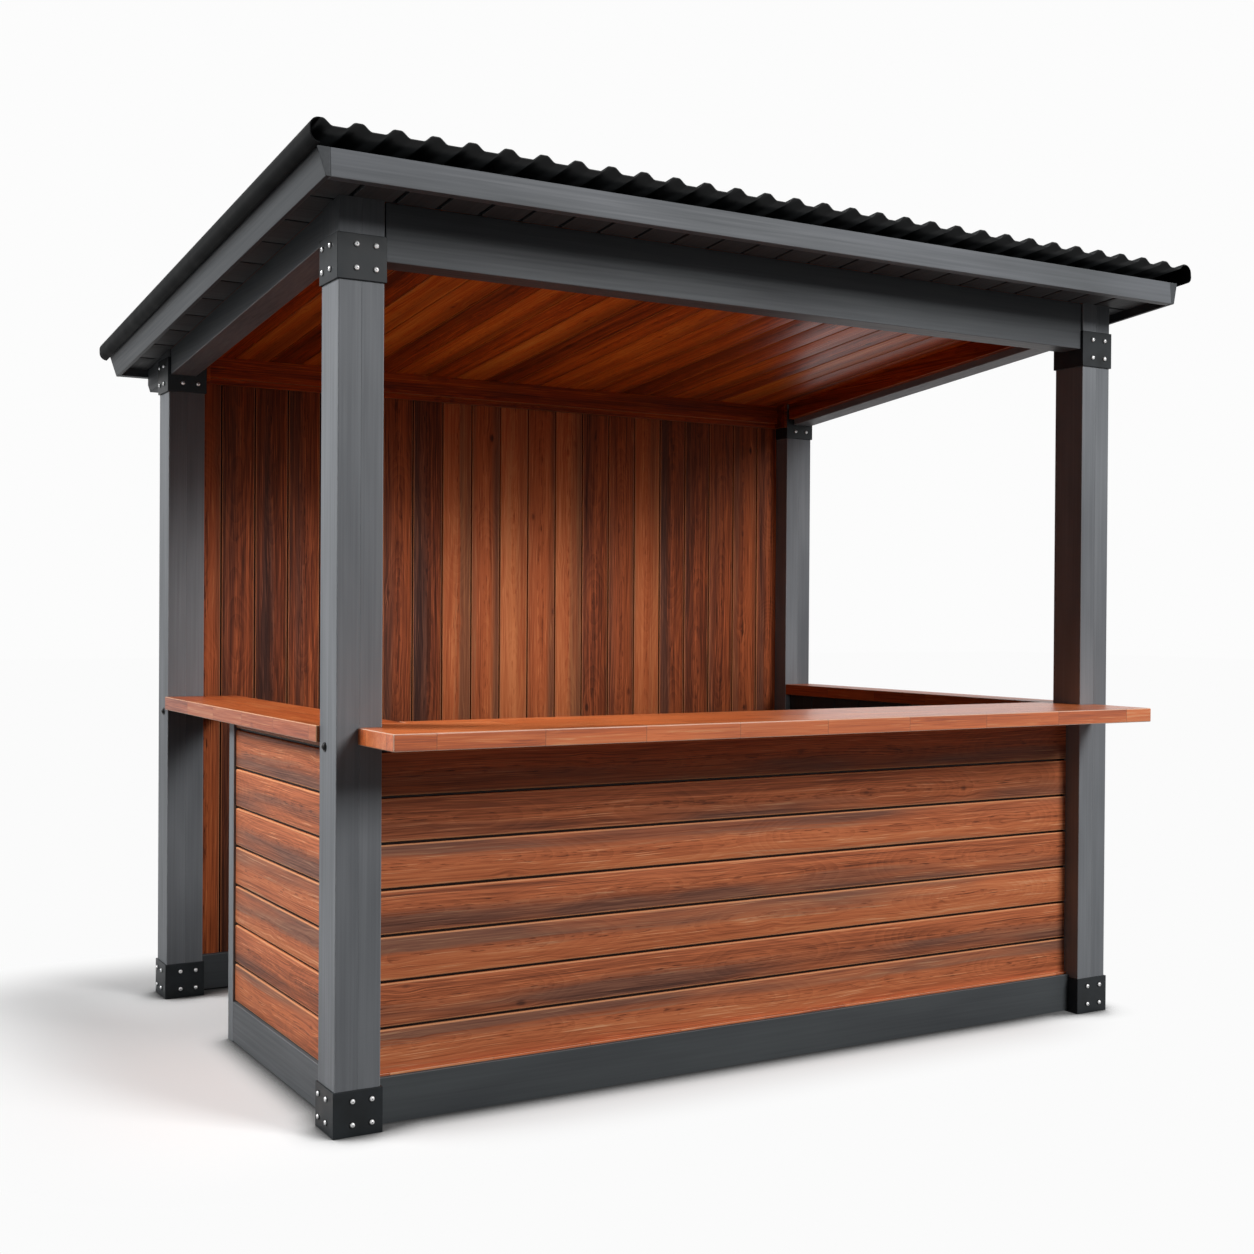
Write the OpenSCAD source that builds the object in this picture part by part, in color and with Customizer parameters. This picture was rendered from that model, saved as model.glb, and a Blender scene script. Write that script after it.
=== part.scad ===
// Open market stall: four posts under a corrugated roof that falls to the back,
// a serving counter on three sides and a boarded wall behind. Millimetres.
// The front faces -Y, left is -X, and the origin is on the ground under the middle.

/* [Frame] */
// Width over the outer faces of the posts
frame_w = 2650; // [2400:10:3000]
// Depth over the outer faces of the posts
frame_d = 1740; // [1600:10:2000]
// Side of a square post
post = 120; // [112:1:130]
// Height of the front beam's underside
beam_under = 2163; // [2060:1:2300]
// Height of the front beam
front_beam_h = 148; // [136:1:160]
// Height of the side and back beams
side_beam_h = 85; // [78:1:92]
// Thickness of the front and side beams
beam_t = 85; // [76:1:94]
// Thickness of the back beam
back_beam_t = 40; // [34:1:42]
// Distance of the beams' outer faces behind the posts' faces
beam_set = 5; // [3:1:8]

/* [Steel sleeves] */
// Thickness of the sleeve plate
plate = 5; // [4:1:6]
// Height of a sleeve
sleeve_h = 114; // [104:1:118]
// Distance that a top sleeve hangs below the beam beside it
sleeve_drop = 55; // [48:1:62]

/* [Counter walls] */
// Height of the plinth boards
plinth_h = 122; // [119:1:140]
// Distance of the plinth's face behind the posts' faces
plinth_set = 38; // [30:1:44]
// Thickness of the plinth
plinth_t = 60; // [54:1:66]
// Distance of the front boards' face behind the posts' faces
board_set = 60; // [54:1:66]
// Distance of the side boards' face behind the posts' faces
side_board_set = 45; // [45:1:52]
// Thickness of the boards
board_t = 20; // [16:1:24]
// Clear width of the doorway in the left side
doorway_w = 584; // [540:2:640]
// Width of the stile beside the doorway
stile_w = 48; // [40:1:56]

/* [Counter tops] */
// Height of the counter
counter_h = 1008; // [940:1:1060]
// Thickness of the tops
top_t = 43; // [36:1:50]
// Distance that the front top reaches in front of the posts
front_reach = 236; // [210:1:260]
// Distance that the front top reaches behind the posts
back_reach = 47; // [30:1:70]
// Distance of the front top's ends from the posts' outer faces
end_set = 55; // [45:1:65]
// Width of the left top; the right one ends at the posts' inner faces
left_top_w = 240; // [220:1:270]
// Distance that the side tops stand proud of the posts
side_proud = 9; // [5:1:16]

/* [Back wall] */
// Distance of the wall's inner face in front of the posts' back faces
wall_set = 45; // [45:1:55]
// Thickness of the wall's boards
wall_t = 20; // [16:1:24]
// Height of the wooden trim under the ceiling
trim_h = 62; // [54:1:70]
// Depth of the trim's upper step
trim_t = 26; // [22:1:29]
// Depth of the trim's lower step
trim_low_t = 12; // [8:1:16]
// Height of the trim's lower step
trim_low_h = 20; // [14:1:26]

/* [Roof] */
// Slope of the roof, falling to the back
roof_pitch = 5.2; // [4:0.1:6.5]
// Thickness of the ceiling and soffit boards
deck_t = 18; // [15:1:22]
// Overhang of the front fascia beyond the front beam
eave_front = 184; // [160:1:210]
// Overhang of the back fascia beyond the back beam
eave_back = 223; // [190:1:250]
// Overhang of the side fascias' inner faces beyond the posts
eave_side = 85; // [70:1:100]
// Height of the fascia boards
fascia_h = 70; // [66:1:76]
// Distance that the fascias hang below the soffit
fascia_drop = 27; // [22:1:32]
// Thickness of the front and back fascias
fascia_t = 25; // [20:1:30]
// Thickness of the canted side fascias at the top
cant_top = 33; // [28:1:36]
// Thickness of the canted side fascias at the bottom
cant_low = 12; // [8:1:16]
// Height of the battens under the sheet
batten_h = 59; // [54:1:66]
// Width of a batten
batten_w = 50; // [40:1:60]

/* [Roof sheet] */
// Number of corrugations
waves = 30; // [26:1:34]
// Depth of a corrugation
wave_h = 16; // [13:1:19]
// Width of a crest's flat top, measured under the sheet
crest_w = 22; // [18:1:26]
// Width of the sloping side of a crest
flank_w = 18; // [15:1:21]
// Thickness of the sheet
sheet_t = 3; // [2.5:0.5:4]
// Distance of the sheet's sides beyond the side fascias' inner faces
sheet_side = 36; // [36:1:44]
// Distance of the sheet's ends beyond the front and back fascias
sheet_lap = 34; // [24:1:44]
// Width of a rolled verge beside the sheet
verge_w = 24; // [20:1:26]
// Height of a rolled verge
verge_h = 61; // [58:1:66]

/* [Hidden] */

LEFT = -1;
RIGHT = 1;
FRONT = -1;
BACK = 1;

// Allowance by which a cutting shape runs past what it cuts
past = 1;
// Gap between solids of one node that are made apart
apart = 2;
// Number of battens
battens = 4;
// Distance of the outer battens from the fascias
batten_clear = 70;
// Bevel under the ends of the beams' tails
tail_bevel = 30;

// Plan: posts' outer and inner faces
half_w = frame_w / 2;
half_d = frame_d / 2;
in_w = half_w - post;
in_d = half_d - post;
lining_t = plinth_set + plinth_t - board_set - board_t;
side_lining_t = plinth_set + plinth_t - side_board_set - board_t;
top_under = counter_h - top_t;
left_top_in = half_w + side_proud - left_top_w;
stile_back = in_d - doorway_w;
stile_front = stile_back - stile_w;
wall_face = half_d - wall_set;

// Roof plane: the underside of ceiling and soffits
slope = tan(roof_pitch);
beam_face = -half_d + beam_set;
deck_front = beam_under + front_beam_h;
function deck_z(y) = deck_front - slope * (y - beam_face);
back_under = deck_z(half_d) - side_beam_h;
beam_out = half_w - beam_set;
beam_in = beam_out - beam_t;

// Roof in its own frame: v runs down the slope from the front beam's face, w is square to it
deck_back = (frame_d - 2 * beam_set) / cos(roof_pitch);
fascia_front = -eave_front;
fascia_back = deck_back + eave_back;
fascia_x = half_w + eave_side;
fascia_top = fascia_h - fascia_drop;
sheet_low = deck_t + batten_h;
sheet_top = sheet_low + wave_h + sheet_t;
sheet_x = fascia_x + sheet_side;
sheet_front = fascia_front - sheet_lap;
sheet_back = fascia_back + sheet_lap;
wave_pitch = 2 * sheet_x / waves;

// Bends of one corrugation, from the middle of a crest to the middle of the next
crest_end = crest_w / 2;
trough_end = crest_end + flank_w;
wave_bends = [
    [crest_end, wave_h], [trough_end, 0], [wave_pitch - trough_end, 0], [wave_pitch - crest_end, wave_h]
];

// The plan is shifted so that its outline is centred on the origin
front_most = min(-half_d - front_reach,
    beam_face + sheet_front * cos(roof_pitch) + sheet_low * sin(roof_pitch));
back_most = beam_face + sheet_back * cos(roof_pitch) + sheet_top * sin(roof_pitch);
plan_y = -(front_most + back_most) / 2;

anthracite = "#53575a";
black_steel = "#2b2e31";
board_brown = "#8a4b32";
ceiling_brown = "#6a2c17";
counter_brown = "#a85f3d";
sheet_black = "#232526";

// Places the children, drawn about the posts' middle, on the ground plan
module in_plan() {
    translate([0, plan_y, 0]) children();
}

// Places the children, drawn in x, v and w, on the roof plane
module in_roof() {
    in_plan() translate([0, beam_face, deck_front]) rotate([-roof_pitch, 0, 0]) children();
}

// Box between two values on each axis
module slab(x, y, z) {
    translate([x[0], y[0], z[0]]) cube([x[1] - x[0], y[1] - y[0], z[1] - z[0]]);
}

// Outline in y and z, run along x
module run_x(x0, x1) {
    translate([x0, 0, 0]) rotate([90, 0, 90]) linear_extrude(x1 - x0) children();
}

// Outline in x and w, run down the slope
module run_v(v0, v1) {
    translate([0, v1, 0]) rotate([90, 0, 0]) linear_extrude(v1 - v0) children();
}

// Draws the children on the left or the right side
module on_side(side) {
    mirror([side == LEFT ? 1 : 0, 0, 0]) children();
}

// Span of a post in x or y, from its outer to its inner face
function post_span(side, half) = side < 0 ? [-half, post - half] : [half - post, half];

// Underside of the side beams
function beam_low(y) = deck_z(y) - side_beam_h;

// Post from the ground to the roof plane, cut to the slope
module post_at(side, end) {
    x = post_span(side, half_w);
    y = post_span(end, half_d);
    color(anthracite) in_plan() run_x(x[0], x[1])
        polygon([[y[0], 0], [y[1], 0], [y[1], deck_z(y[1])], [y[0], deck_z(y[0])]]);
}

// Plain box round a post, used for the sleeves and for cutting room for them
module sleeve_block(side, end, low, high, wall) {
    x = post_span(side, half_w);
    y = post_span(end, half_d);
    slab([x[0] - wall, x[1] + wall], [y[0] - wall, y[1] + wall], [low, high]);
}

// Steel sleeve round a post
module sleeve_at(side, end, low) {
    color(black_steel) in_plan() difference() {
        sleeve_block(side, end, low, low + sleeve_h, plate);
        sleeve_block(side, end, low - past, low + sleeve_h + past, 0);
    }
}

module shoe_at(side, end) {
    sleeve_at(side, end, 0);
}

// Height of a top sleeve's lower edge
function bracket_low(end) = (end == FRONT ? beam_under : beam_low(in_d)) - sleeve_drop;

module bracket_at(side, end) {
    sleeve_at(side, end, bracket_low(end));
}

module front_beam() {
    far = beam_face + beam_t;
    color(anthracite) in_plan() run_x(plate - in_w, in_w - plate)
        polygon([[beam_face, beam_under], [far, beam_under], [far, deck_z(far)], [beam_face, deck_front]]);
}

// Side beam between the posts, with a bevelled tail that carries the back eave
module side_beam_at(side) {
    near = plate - in_d;
    far = in_d - plate;
    tail = half_d + plate;
    end = beam_face + (fascia_back - fascia_t) * cos(roof_pitch) - apart;
    color(anthracite) in_plan() on_side(side) run_x(beam_in, beam_out) {
        polygon([[near, beam_low(near)], [far, beam_low(far)], [far, deck_z(far)], [near, deck_z(near)]]);
        polygon([
            [tail, beam_low(tail)], [end - tail_bevel, beam_low(end - tail_bevel)],
            [end, beam_low(end) + tail_bevel], [end, deck_z(end)], [tail, deck_z(tail)]
        ]);
    }
}

module left_beam() {
    side_beam_at(LEFT);
}

module right_beam() {
    side_beam_at(RIGHT);
}

module back_beam() {
    near = wall_face;
    far = wall_face + back_beam_t;
    color(anthracite) in_plan() run_x(plate - in_w, in_w - plate)
        polygon([[near, back_under], [far, back_under], [far, deck_z(far)], [near, deck_z(near)]]);
}

// Front plinth between the posts, cut out round the shoes
module front_plinth() {
    near = plinth_set - half_d;
    color(anthracite) in_plan() difference() {
        slab([-in_w, in_w], [near, near + plinth_t], [0, plinth_h]);
        for (side = [LEFT, RIGHT]) sleeve_block(side, FRONT, -past, sleeve_h, plate);
    }
}

// Side plinth, seen from the right, with its face plinth_set inside the posts
module side_plinth_at(side, far) {
    out = half_w - plinth_set;
    color(anthracite) in_plan() difference() {
        on_side(side) slab([out - plinth_t, out], [-in_d, far], [0, plinth_h]);
        for (end = [FRONT, BACK]) sleeve_block(side, end, -past, sleeve_h, plate);
    }
}

module left_plinth() {
    side_plinth_at(LEFT, stile_front);
}

module right_plinth() {
    side_plinth_at(RIGHT, in_d);
}

// Back plinth, under the wall and a little proud of both its faces
module back_plinth() {
    middle = wall_face + wall_t / 2;
    color(anthracite) in_plan() difference() {
        slab([-in_w, in_w], [middle - plinth_t / 2, middle + plinth_t / 2], [0, plinth_h]);
        for (side = [LEFT, RIGHT]) sleeve_block(side, BACK, -past, sleeve_h, plate);
    }
}

// Sheet of a counter wall in front: distance of its face behind the posts, and thickness
module front_layer(set, thick) {
    in_plan() slab([-in_w, in_w], [set - half_d, set + thick - half_d], [plinth_h, top_under]);
}

// Sheet of a counter wall at a side, from the front post to far
module side_layer(side, set, thick, far) {
    in_plan() on_side(side)
        slab([half_w - set - thick, half_w - set], [-in_d, far], [plinth_h, top_under]);
}

module front_boards() {
    color(board_brown) front_layer(board_set, board_t);
}

module left_boards() {
    color(board_brown) side_layer(LEFT, side_board_set, board_t, stile_front);
}

module right_boards() {
    color(board_brown) side_layer(RIGHT, side_board_set, board_t, in_d);
}

module front_lining() {
    color(anthracite) front_layer(board_set + board_t, lining_t);
}

module left_lining() {
    color(anthracite) side_layer(LEFT, side_board_set + board_t, side_lining_t, stile_front);
}

module right_lining() {
    color(anthracite) side_layer(RIGHT, side_board_set + board_t, side_lining_t, in_d);
}

// Upright that closes the left counter wall beside the doorway
module doorway_stile() {
    out = half_w - plinth_set;
    color(anthracite) in_plan() on_side(LEFT)
        slab([out - plinth_t, out], [stile_front, stile_back], [0, top_under]);
}

// Front top: in front of the posts, between them, and between the side tops
module front_top() {
    tip = half_w - end_set;
    color(counter_brown) in_plan() translate([0, 0, top_under]) linear_extrude(top_t)
        polygon([
            [-tip, -half_d - front_reach], [tip, -half_d - front_reach],
            [tip, -half_d], [in_w, -half_d], [in_w, back_reach - in_d],
            [-left_top_in, back_reach - in_d], [-left_top_in, -in_d],
            [-in_w, -in_d], [-in_w, -half_d], [-tip, -half_d]
        ]);
}

// Side top between the front and the back post, from its inner edge to its proud outer edge
module side_top_at(side, inner) {
    color(counter_brown) in_plan() on_side(side)
        slab([inner, half_w + side_proud], [-in_d, in_d], [top_under, counter_h]);
}

module left_top() {
    side_top_at(LEFT, left_top_in);
}

module right_top() {
    side_top_at(RIGHT, in_w);
}

// Wall between the back posts, cut out at the top round the brackets
module back_wall() {
    low = bracket_low(BACK);
    color(board_brown) in_plan() difference() {
        slab([-in_w, in_w], [wall_face, wall_face + wall_t], [plinth_h, back_under]);
        for (side = [LEFT, RIGHT]) sleeve_block(side, BACK, low, low + sleeve_h, plate);
    }
}

module ceiling() {
    color(ceiling_brown) in_roof() slab([-beam_out, beam_out], [0, deck_back], [0, deck_t]);
}

// Stepped trim on the back beam, and plain trims on the side beams
module ceiling_trim() {
    near = wall_face - trim_t;
    low_near = wall_face - trim_low_t;
    step = back_under + trim_low_h;
    side_near = plate + apart - in_d;
    side_far = in_d - plate - apart;
    color(ceiling_brown) in_plan() {
        run_x(plate + apart - in_w, in_w - plate - apart)
            polygon([
                [low_near, back_under], [wall_face, back_under], [wall_face, deck_z(wall_face)],
                [near, deck_z(near)], [near, step], [low_near, step]
            ]);
        for (side = [LEFT, RIGHT]) on_side(side) run_x(beam_in - trim_t, beam_in)
            polygon([
                [side_near, deck_z(side_near) - trim_h], [side_far, deck_z(side_far) - trim_h],
                [side_far, deck_z(side_far)], [side_near, deck_z(side_near)]
            ]);
    }
}

// Soffit board area under an eave, mitred at the corners
module soffit(outline) {
    color(anthracite) in_roof() linear_extrude(deck_t) polygon(outline);
}

module front_soffit() {
    edge = fascia_front + fascia_t;
    soffit([[-fascia_x, edge], [fascia_x, edge], [beam_out, 0], [-beam_out, 0]]);
}

module back_soffit() {
    edge = fascia_back - fascia_t;
    soffit([[-beam_out, deck_back], [beam_out, deck_back], [fascia_x, edge], [-fascia_x, edge]]);
}

module side_soffit_at(side) {
    soffit([
        [side * beam_out, 0], [side * fascia_x, fascia_front + fascia_t],
        [side * fascia_x, fascia_back - fascia_t], [side * beam_out, deck_back]
    ]);
}

module left_soffit() {
    side_soffit_at(LEFT);
}

module right_soffit() {
    side_soffit_at(RIGHT);
}

module front_fascia() {
    color(anthracite) in_roof()
        slab([-fascia_x, fascia_x], [fascia_front, fascia_front + fascia_t], [-fascia_drop, fascia_top]);
}

module back_fascia() {
    color(anthracite) in_roof()
        slab([-fascia_x, fascia_x], [fascia_back - fascia_t, fascia_back], [-fascia_drop, fascia_top]);
}

// Side fascia with an upright inner face and an outer face that leans out
module side_fascia_at(side) {
    color(anthracite) in_roof() on_side(side) run_v(fascia_front, fascia_back)
        polygon([
            [fascia_x, -fascia_drop], [fascia_x + cant_low, -fascia_drop],
            [fascia_x + cant_top, fascia_top], [fascia_x, fascia_top]
        ]);
}

module left_fascia() {
    side_fascia_at(LEFT);
}

module right_fascia() {
    side_fascia_at(RIGHT);
}

// Battens across the roof, which carry the sheet in its troughs
module roof_battens() {
    first = fascia_front + fascia_t + batten_clear;
    last = fascia_back - fascia_t - batten_clear - batten_w;
    color(sheet_black) in_roof() for (i = [0 : battens - 1]) {
        v = first + (last - first) * i / (battens - 1);
        slab([-fascia_x, fascia_x], [v, v + batten_w], [deck_t, sheet_low]);
    }
}

// Sheet with a crest at either side
module roof_sheet() {
    bends = [for (i = [0 : waves - 1]) for (bend = wave_bends) [i * wave_pitch, 0] + bend];
    line = concat([[0, wave_h]], bends, [[waves * wave_pitch, wave_h]]);
    under = [for (bend = line) bend + [-sheet_x, sheet_low]];
    over = [for (i = [len(under) - 1 : -1 : 0]) under[i] + [0, sheet_t]];
    color(sheet_black) in_roof() run_v(sheet_front, sheet_back) polygon(concat(under, over));
}

// Upright rounded bar, verge_h tall when inset is 0
module verge_bar(inset) {
    r = verge_w - inset;
    for (w = [sheet_top - verge_h + verge_w, sheet_top - verge_w])
        translate([sheet_x, w]) circle(r, $fn = 48);
    translate([sheet_x - r, sheet_top - verge_h + verge_w]) square([2 * r, verge_h - 2 * verge_w]);
}

// Rolled verge: the outer half of a hollow rounded bar, from the last crest down
module verge_at(side) {
    color(sheet_black) in_roof() on_side(side) run_v(sheet_front, sheet_back) intersection() {
        difference() {
            verge_bar(0);
            verge_bar(sheet_t);
        }
        translate([sheet_x, sheet_top - verge_h - past])
            square([verge_w + past, verge_h + 2 * past]);
    }
}

module left_verge() {
    verge_at(LEFT);
}

module right_verge() {
    verge_at(RIGHT);
}

post_at(LEFT, FRONT);  // front_left_post
post_at(RIGHT, FRONT);  // front_right_post
post_at(LEFT, BACK);  // back_left_post
post_at(RIGHT, BACK);  // back_right_post
shoe_at(LEFT, FRONT);  // front_left_shoe
shoe_at(RIGHT, FRONT);  // front_right_shoe
shoe_at(LEFT, BACK);  // back_left_shoe
shoe_at(RIGHT, BACK);  // back_right_shoe
bracket_at(LEFT, FRONT);  // front_left_bracket
bracket_at(RIGHT, FRONT);  // front_right_bracket
bracket_at(LEFT, BACK);  // back_left_bracket
bracket_at(RIGHT, BACK);  // back_right_bracket
front_beam();
left_beam();
right_beam();
back_beam();
front_plinth();
left_plinth();
right_plinth();
back_plinth();
front_boards();
left_boards();
right_boards();
front_lining();
left_lining();
right_lining();
doorway_stile();
front_top();
left_top();
right_top();
back_wall();
ceiling();
ceiling_trim();
front_soffit();
left_soffit();
right_soffit();
back_soffit();
front_fascia();
left_fascia();
right_fascia();
back_fascia();
roof_battens();
roof_sheet();
left_verge();
right_verge();
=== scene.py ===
import math
import random

import bmesh
import bpy
from mathutils import Matrix, Vector


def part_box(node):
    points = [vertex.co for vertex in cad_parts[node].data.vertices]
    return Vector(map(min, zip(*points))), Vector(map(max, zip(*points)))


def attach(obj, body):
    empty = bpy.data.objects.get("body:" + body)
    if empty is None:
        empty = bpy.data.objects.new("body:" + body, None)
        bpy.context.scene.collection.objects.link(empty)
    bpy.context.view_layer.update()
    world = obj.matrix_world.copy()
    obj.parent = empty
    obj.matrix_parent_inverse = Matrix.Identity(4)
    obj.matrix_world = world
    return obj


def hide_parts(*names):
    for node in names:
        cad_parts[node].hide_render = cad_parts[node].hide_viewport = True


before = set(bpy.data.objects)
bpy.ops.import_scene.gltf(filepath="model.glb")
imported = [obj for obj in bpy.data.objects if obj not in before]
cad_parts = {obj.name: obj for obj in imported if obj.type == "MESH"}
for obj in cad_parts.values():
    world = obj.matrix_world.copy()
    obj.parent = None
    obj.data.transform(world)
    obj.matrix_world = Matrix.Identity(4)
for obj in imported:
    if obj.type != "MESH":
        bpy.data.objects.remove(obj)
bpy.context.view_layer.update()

# Sizes that the frame doesn't give, in metres
MM = 0.001
BOARD_PITCH = 117 * MM
BOARD_GROOVE = 7 * MM
BOARD_EASE = 4 * MM
WALL_PITCH = 117.5 * MM
WALL_FIRST_JOINT = -1126 * MM
WALL_GROOVE = 5.2 * MM
WALL_EASE = 3 * MM
CEILING_PITCH = 117.3 * MM
CEILING_GROOVE = 4 * MM
CEILING_EASE = 2 * MM
EAVE_PITCH = 116 * MM
SIDE_EAVE_PITCH = 193 * MM
EAVE_GROOVE = 12 * MM
EAVE_EASE = 2.4 * MM
EAVE_STOP = 1.5 * MM
LINING_PITCH = 150 * MM
LINING_GROOVE = 3 * MM
LINING_EASE = 2 * MM
TONGUE = 20 * MM
TONGUE_T = 4 * MM
POST_EASE = 3 * MM
SEAM_EASE = 0.9 * MM
SLEEVE_EASE = 1.6 * MM
BEAM_EASE = 2.5 * MM
TAIL_BEVEL = 30 * MM
PLINTH_EASE = 1.8 * MM
PLINTH_LIFT = 5 * MM
STILE_EASE = 2 * MM
STARTER_EASE = 1 * MM
STARTER_H = 6 * MM
STARTER_OUT = 11 * MM
TOP_EASE = 3.6 * MM
TOP_EASE_STEPS = 4
STAVE = (290 * MM, 134 * MM)
FASCIA_EASE = 2 * MM
BARGE_EASE = 1.6 * MM
TRIM_EASE = 1.5 * MM
TRIM_T = 26 * MM
TRIM_H = 62 * MM
TRIM_LOW_T = 12 * MM
TRIM_LOW_H = 20 * MM
SHEET_WAVES = 30
SHEET_STEPS = 24
SHEET_CREST = 22 * MM
SHEET_FLANK = 18 * MM
SHEET_T = 3 * MM
SHEET_SHOULDER = 0.35
VERGE_STEPS = 10
VERGE_SHARP = math.radians(40)
SCREW_CRESTS = 3
BEARER_DROP = 8 * MM
BEARER_IN = (40 * MM, 48 * MM)
# Fasteners: radius and height of the head, radius and height of the washer, radius of the socket
SLEEVE_BOLT = (6.7 * MM, 4.4 * MM, 8.2 * MM, 1.4 * MM, 1.6 * MM)
BEARER_BOLT = (9 * MM, 6 * MM, 12 * MM, 2 * MM, 3 * MM)
ROOF_SCREW = (4.5 * MM, 4 * MM, 8 * MM, 1.6 * MM, 1.5 * MM)
SOCKET_T = 1 * MM
SOCKET_SUNK = 0.4 * MM
FLOOR_REACH = 40.0
# How strongly a slanting face counts as an arris, which the finishes paint paler for rubbing and as a painted
# highlight, on single timbers and in rows of boards
ARRIS_GAIN = 3.2
ARRIS_FLOOR = 0.6
ROW_ARRIS_GAIN = 2.2
LOT_SEED = 17
ROOT = "root"
X, Y, Z = Vector((1, 0, 0)), Vector((0, 1, 0)), Vector((0, 0, 1))

# Kinds of node and settings that come up often
MATH = "ShaderNodeMath"
VECTORS = "ShaderNodeVectorMath"
NOISE = "ShaderNodeTexNoise"
RANGE = "ShaderNodeMapRange"
MIX = "ShaderNodeMix"
XYZ = "ShaderNodeCombineXYZ"
APART = "ShaderNodeSeparateXYZ"
MOVE = "GeometryNodeTransform"
STORE = "GeometryNodeStoreNamedAttribute"
COAT = "GeometryNodeSetMaterial"
PLUS = {"operation": "ADD"}
MINUS = {"operation": "SUBTRACT"}
TIMES = {"operation": "MULTIPLY"}
TIMES_PLUS = {"operation": "MULTIPLY_ADD"}
CLAMPED_TIMES = {"operation": "MULTIPLY", "use_clamp": True}
ABSOLUTE = {"operation": "ABSOLUTE"}
LARGER = {"operation": "MAXIMUM"}
LENGTH = {"operation": "LENGTH"}
SMOOTH = {"interpolation_type": "SMOOTHSTEP"}
RGBA = {"data_type": "RGBA"}
PER_FACE = {"data_type": "FLOAT", "domain": "FACE"}


def linear(code):
    """sRGB hex to linear RGBA."""
    channels = [int(code[i:i + 2], 16) / 255 for i in (1, 3, 5)]
    return (*[c / 12.92 if c <= 0.04045 else ((c + 0.055) / 1.055) ** 2.4 for c in channels], 1.0)


def add(tree, kind, settings=None, links=None):
    """Adds a node with its settings, then fills or links its inputs by name or number.
    Where a node is given for an input, its first output in use is linked."""
    node = tree.nodes.new(kind)
    for key, value in (settings or {}).items():
        if key == "stops":
            while len(node.color_ramp.elements) < len(value):
                node.color_ramp.elements.new(0.5)
            for stop, (place, code) in zip(node.color_ramp.elements, value):
                stop.position = place
                stop.color = linear(code)
        else:
            setattr(node, key, value)
    for key, value in (links or {}).items():
        if isinstance(value, bpy.types.Node):
            value = next(output for output in value.outputs if output.enabled)
        if isinstance(value, bpy.types.NodeSocket):
            tree.links.new(value, node.inputs[key])
        else:
            node.inputs[key].default_value = value
    return node


# Finishes

def new_finish(name):
    """An empty node material and its tree."""
    finish = bpy.data.materials.new(name)
    finish.use_nodes = True
    finish.node_tree.nodes.clear()
    return finish, finish.node_tree


def board_marks(tree):
    """What each board's mesh carries: the place in its grain, its lot, and its arris share, which the
    finishes turn into paler arrises, rubbed and with a painted highlight, and into dark grooves of painted
    shade.
    """
    marks = (("grain_at", "Vector"), ("board", "Fac"), ("arris", "Fac"))
    return [add(tree, "ShaderNodeAttribute", {"attribute_name": mark}).outputs[use] for mark, use in marks]


def shifted(tree, at, board, stride):
    """Places moved on by a board's lot, so that no two boards are alike."""
    shift = add(tree, VECTORS, {"operation": "SCALE"}, {0: stride, "Scale": board})
    return add(tree, VECTORS, PLUS, {0: at, 1: shift})


def streaks(tree, place, length, width, detail, roughness=0.5):
    """Noise drawn out along the grain to a length and width in metres."""
    drawn = add(tree, VECTORS, TIMES, {0: place, 1: (1 / length, 1 / width, 1 / width)})
    return add(tree, NOISE, None, {"Vector": drawn, "Scale": 1.0, "Detail": detail, "Roughness": roughness})


def rubbed_highlit_and_groove_shaded(tree, body, arris, rub_and_highlight, edge, groove_shade):
    """Colour that pales on the arrises, for rubbing and as a painted highlight, and goes dark in the joints,
    as painted shade and, on stained boards, gathered stain.
    """
    rubbed_and_highlit = add(tree, MATH, CLAMPED_TIMES, {0: arris, 1: rub_and_highlight})
    pale = add(tree, MIX, RGBA, {0: rubbed_and_highlit, 6: body, 7: linear(edge)})
    groove_shade_share = add(tree, MATH, CLAMPED_TIMES, {0: arris, 1: -1.0})
    return add(tree, MIX, RGBA, {0: groove_shade_share, 6: pale, 7: linear(groove_shade)})


def surface(tree, colour, sheen, low, high, relief, strength, depth, rest):
    """Ends a finish. Its roughness is low and high where the pattern sheen is, and relief raises it."""
    rough = add(tree, RANGE, None,
                {"Value": sheen, "From Min": 0.3, "From Max": 0.7, "To Min": low, "To Max": high})
    bump = add(tree, "ShaderNodeBump", None, {"Strength": strength, "Distance": depth, "Height": relief})
    shader = add(tree, "ShaderNodeBsdfPrincipled", None,
                 {"Base Color": colour, "Roughness": rough, "Normal": bump, **rest})
    add(tree, "ShaderNodeOutputMaterial", None, {"Surface": shader})


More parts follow.
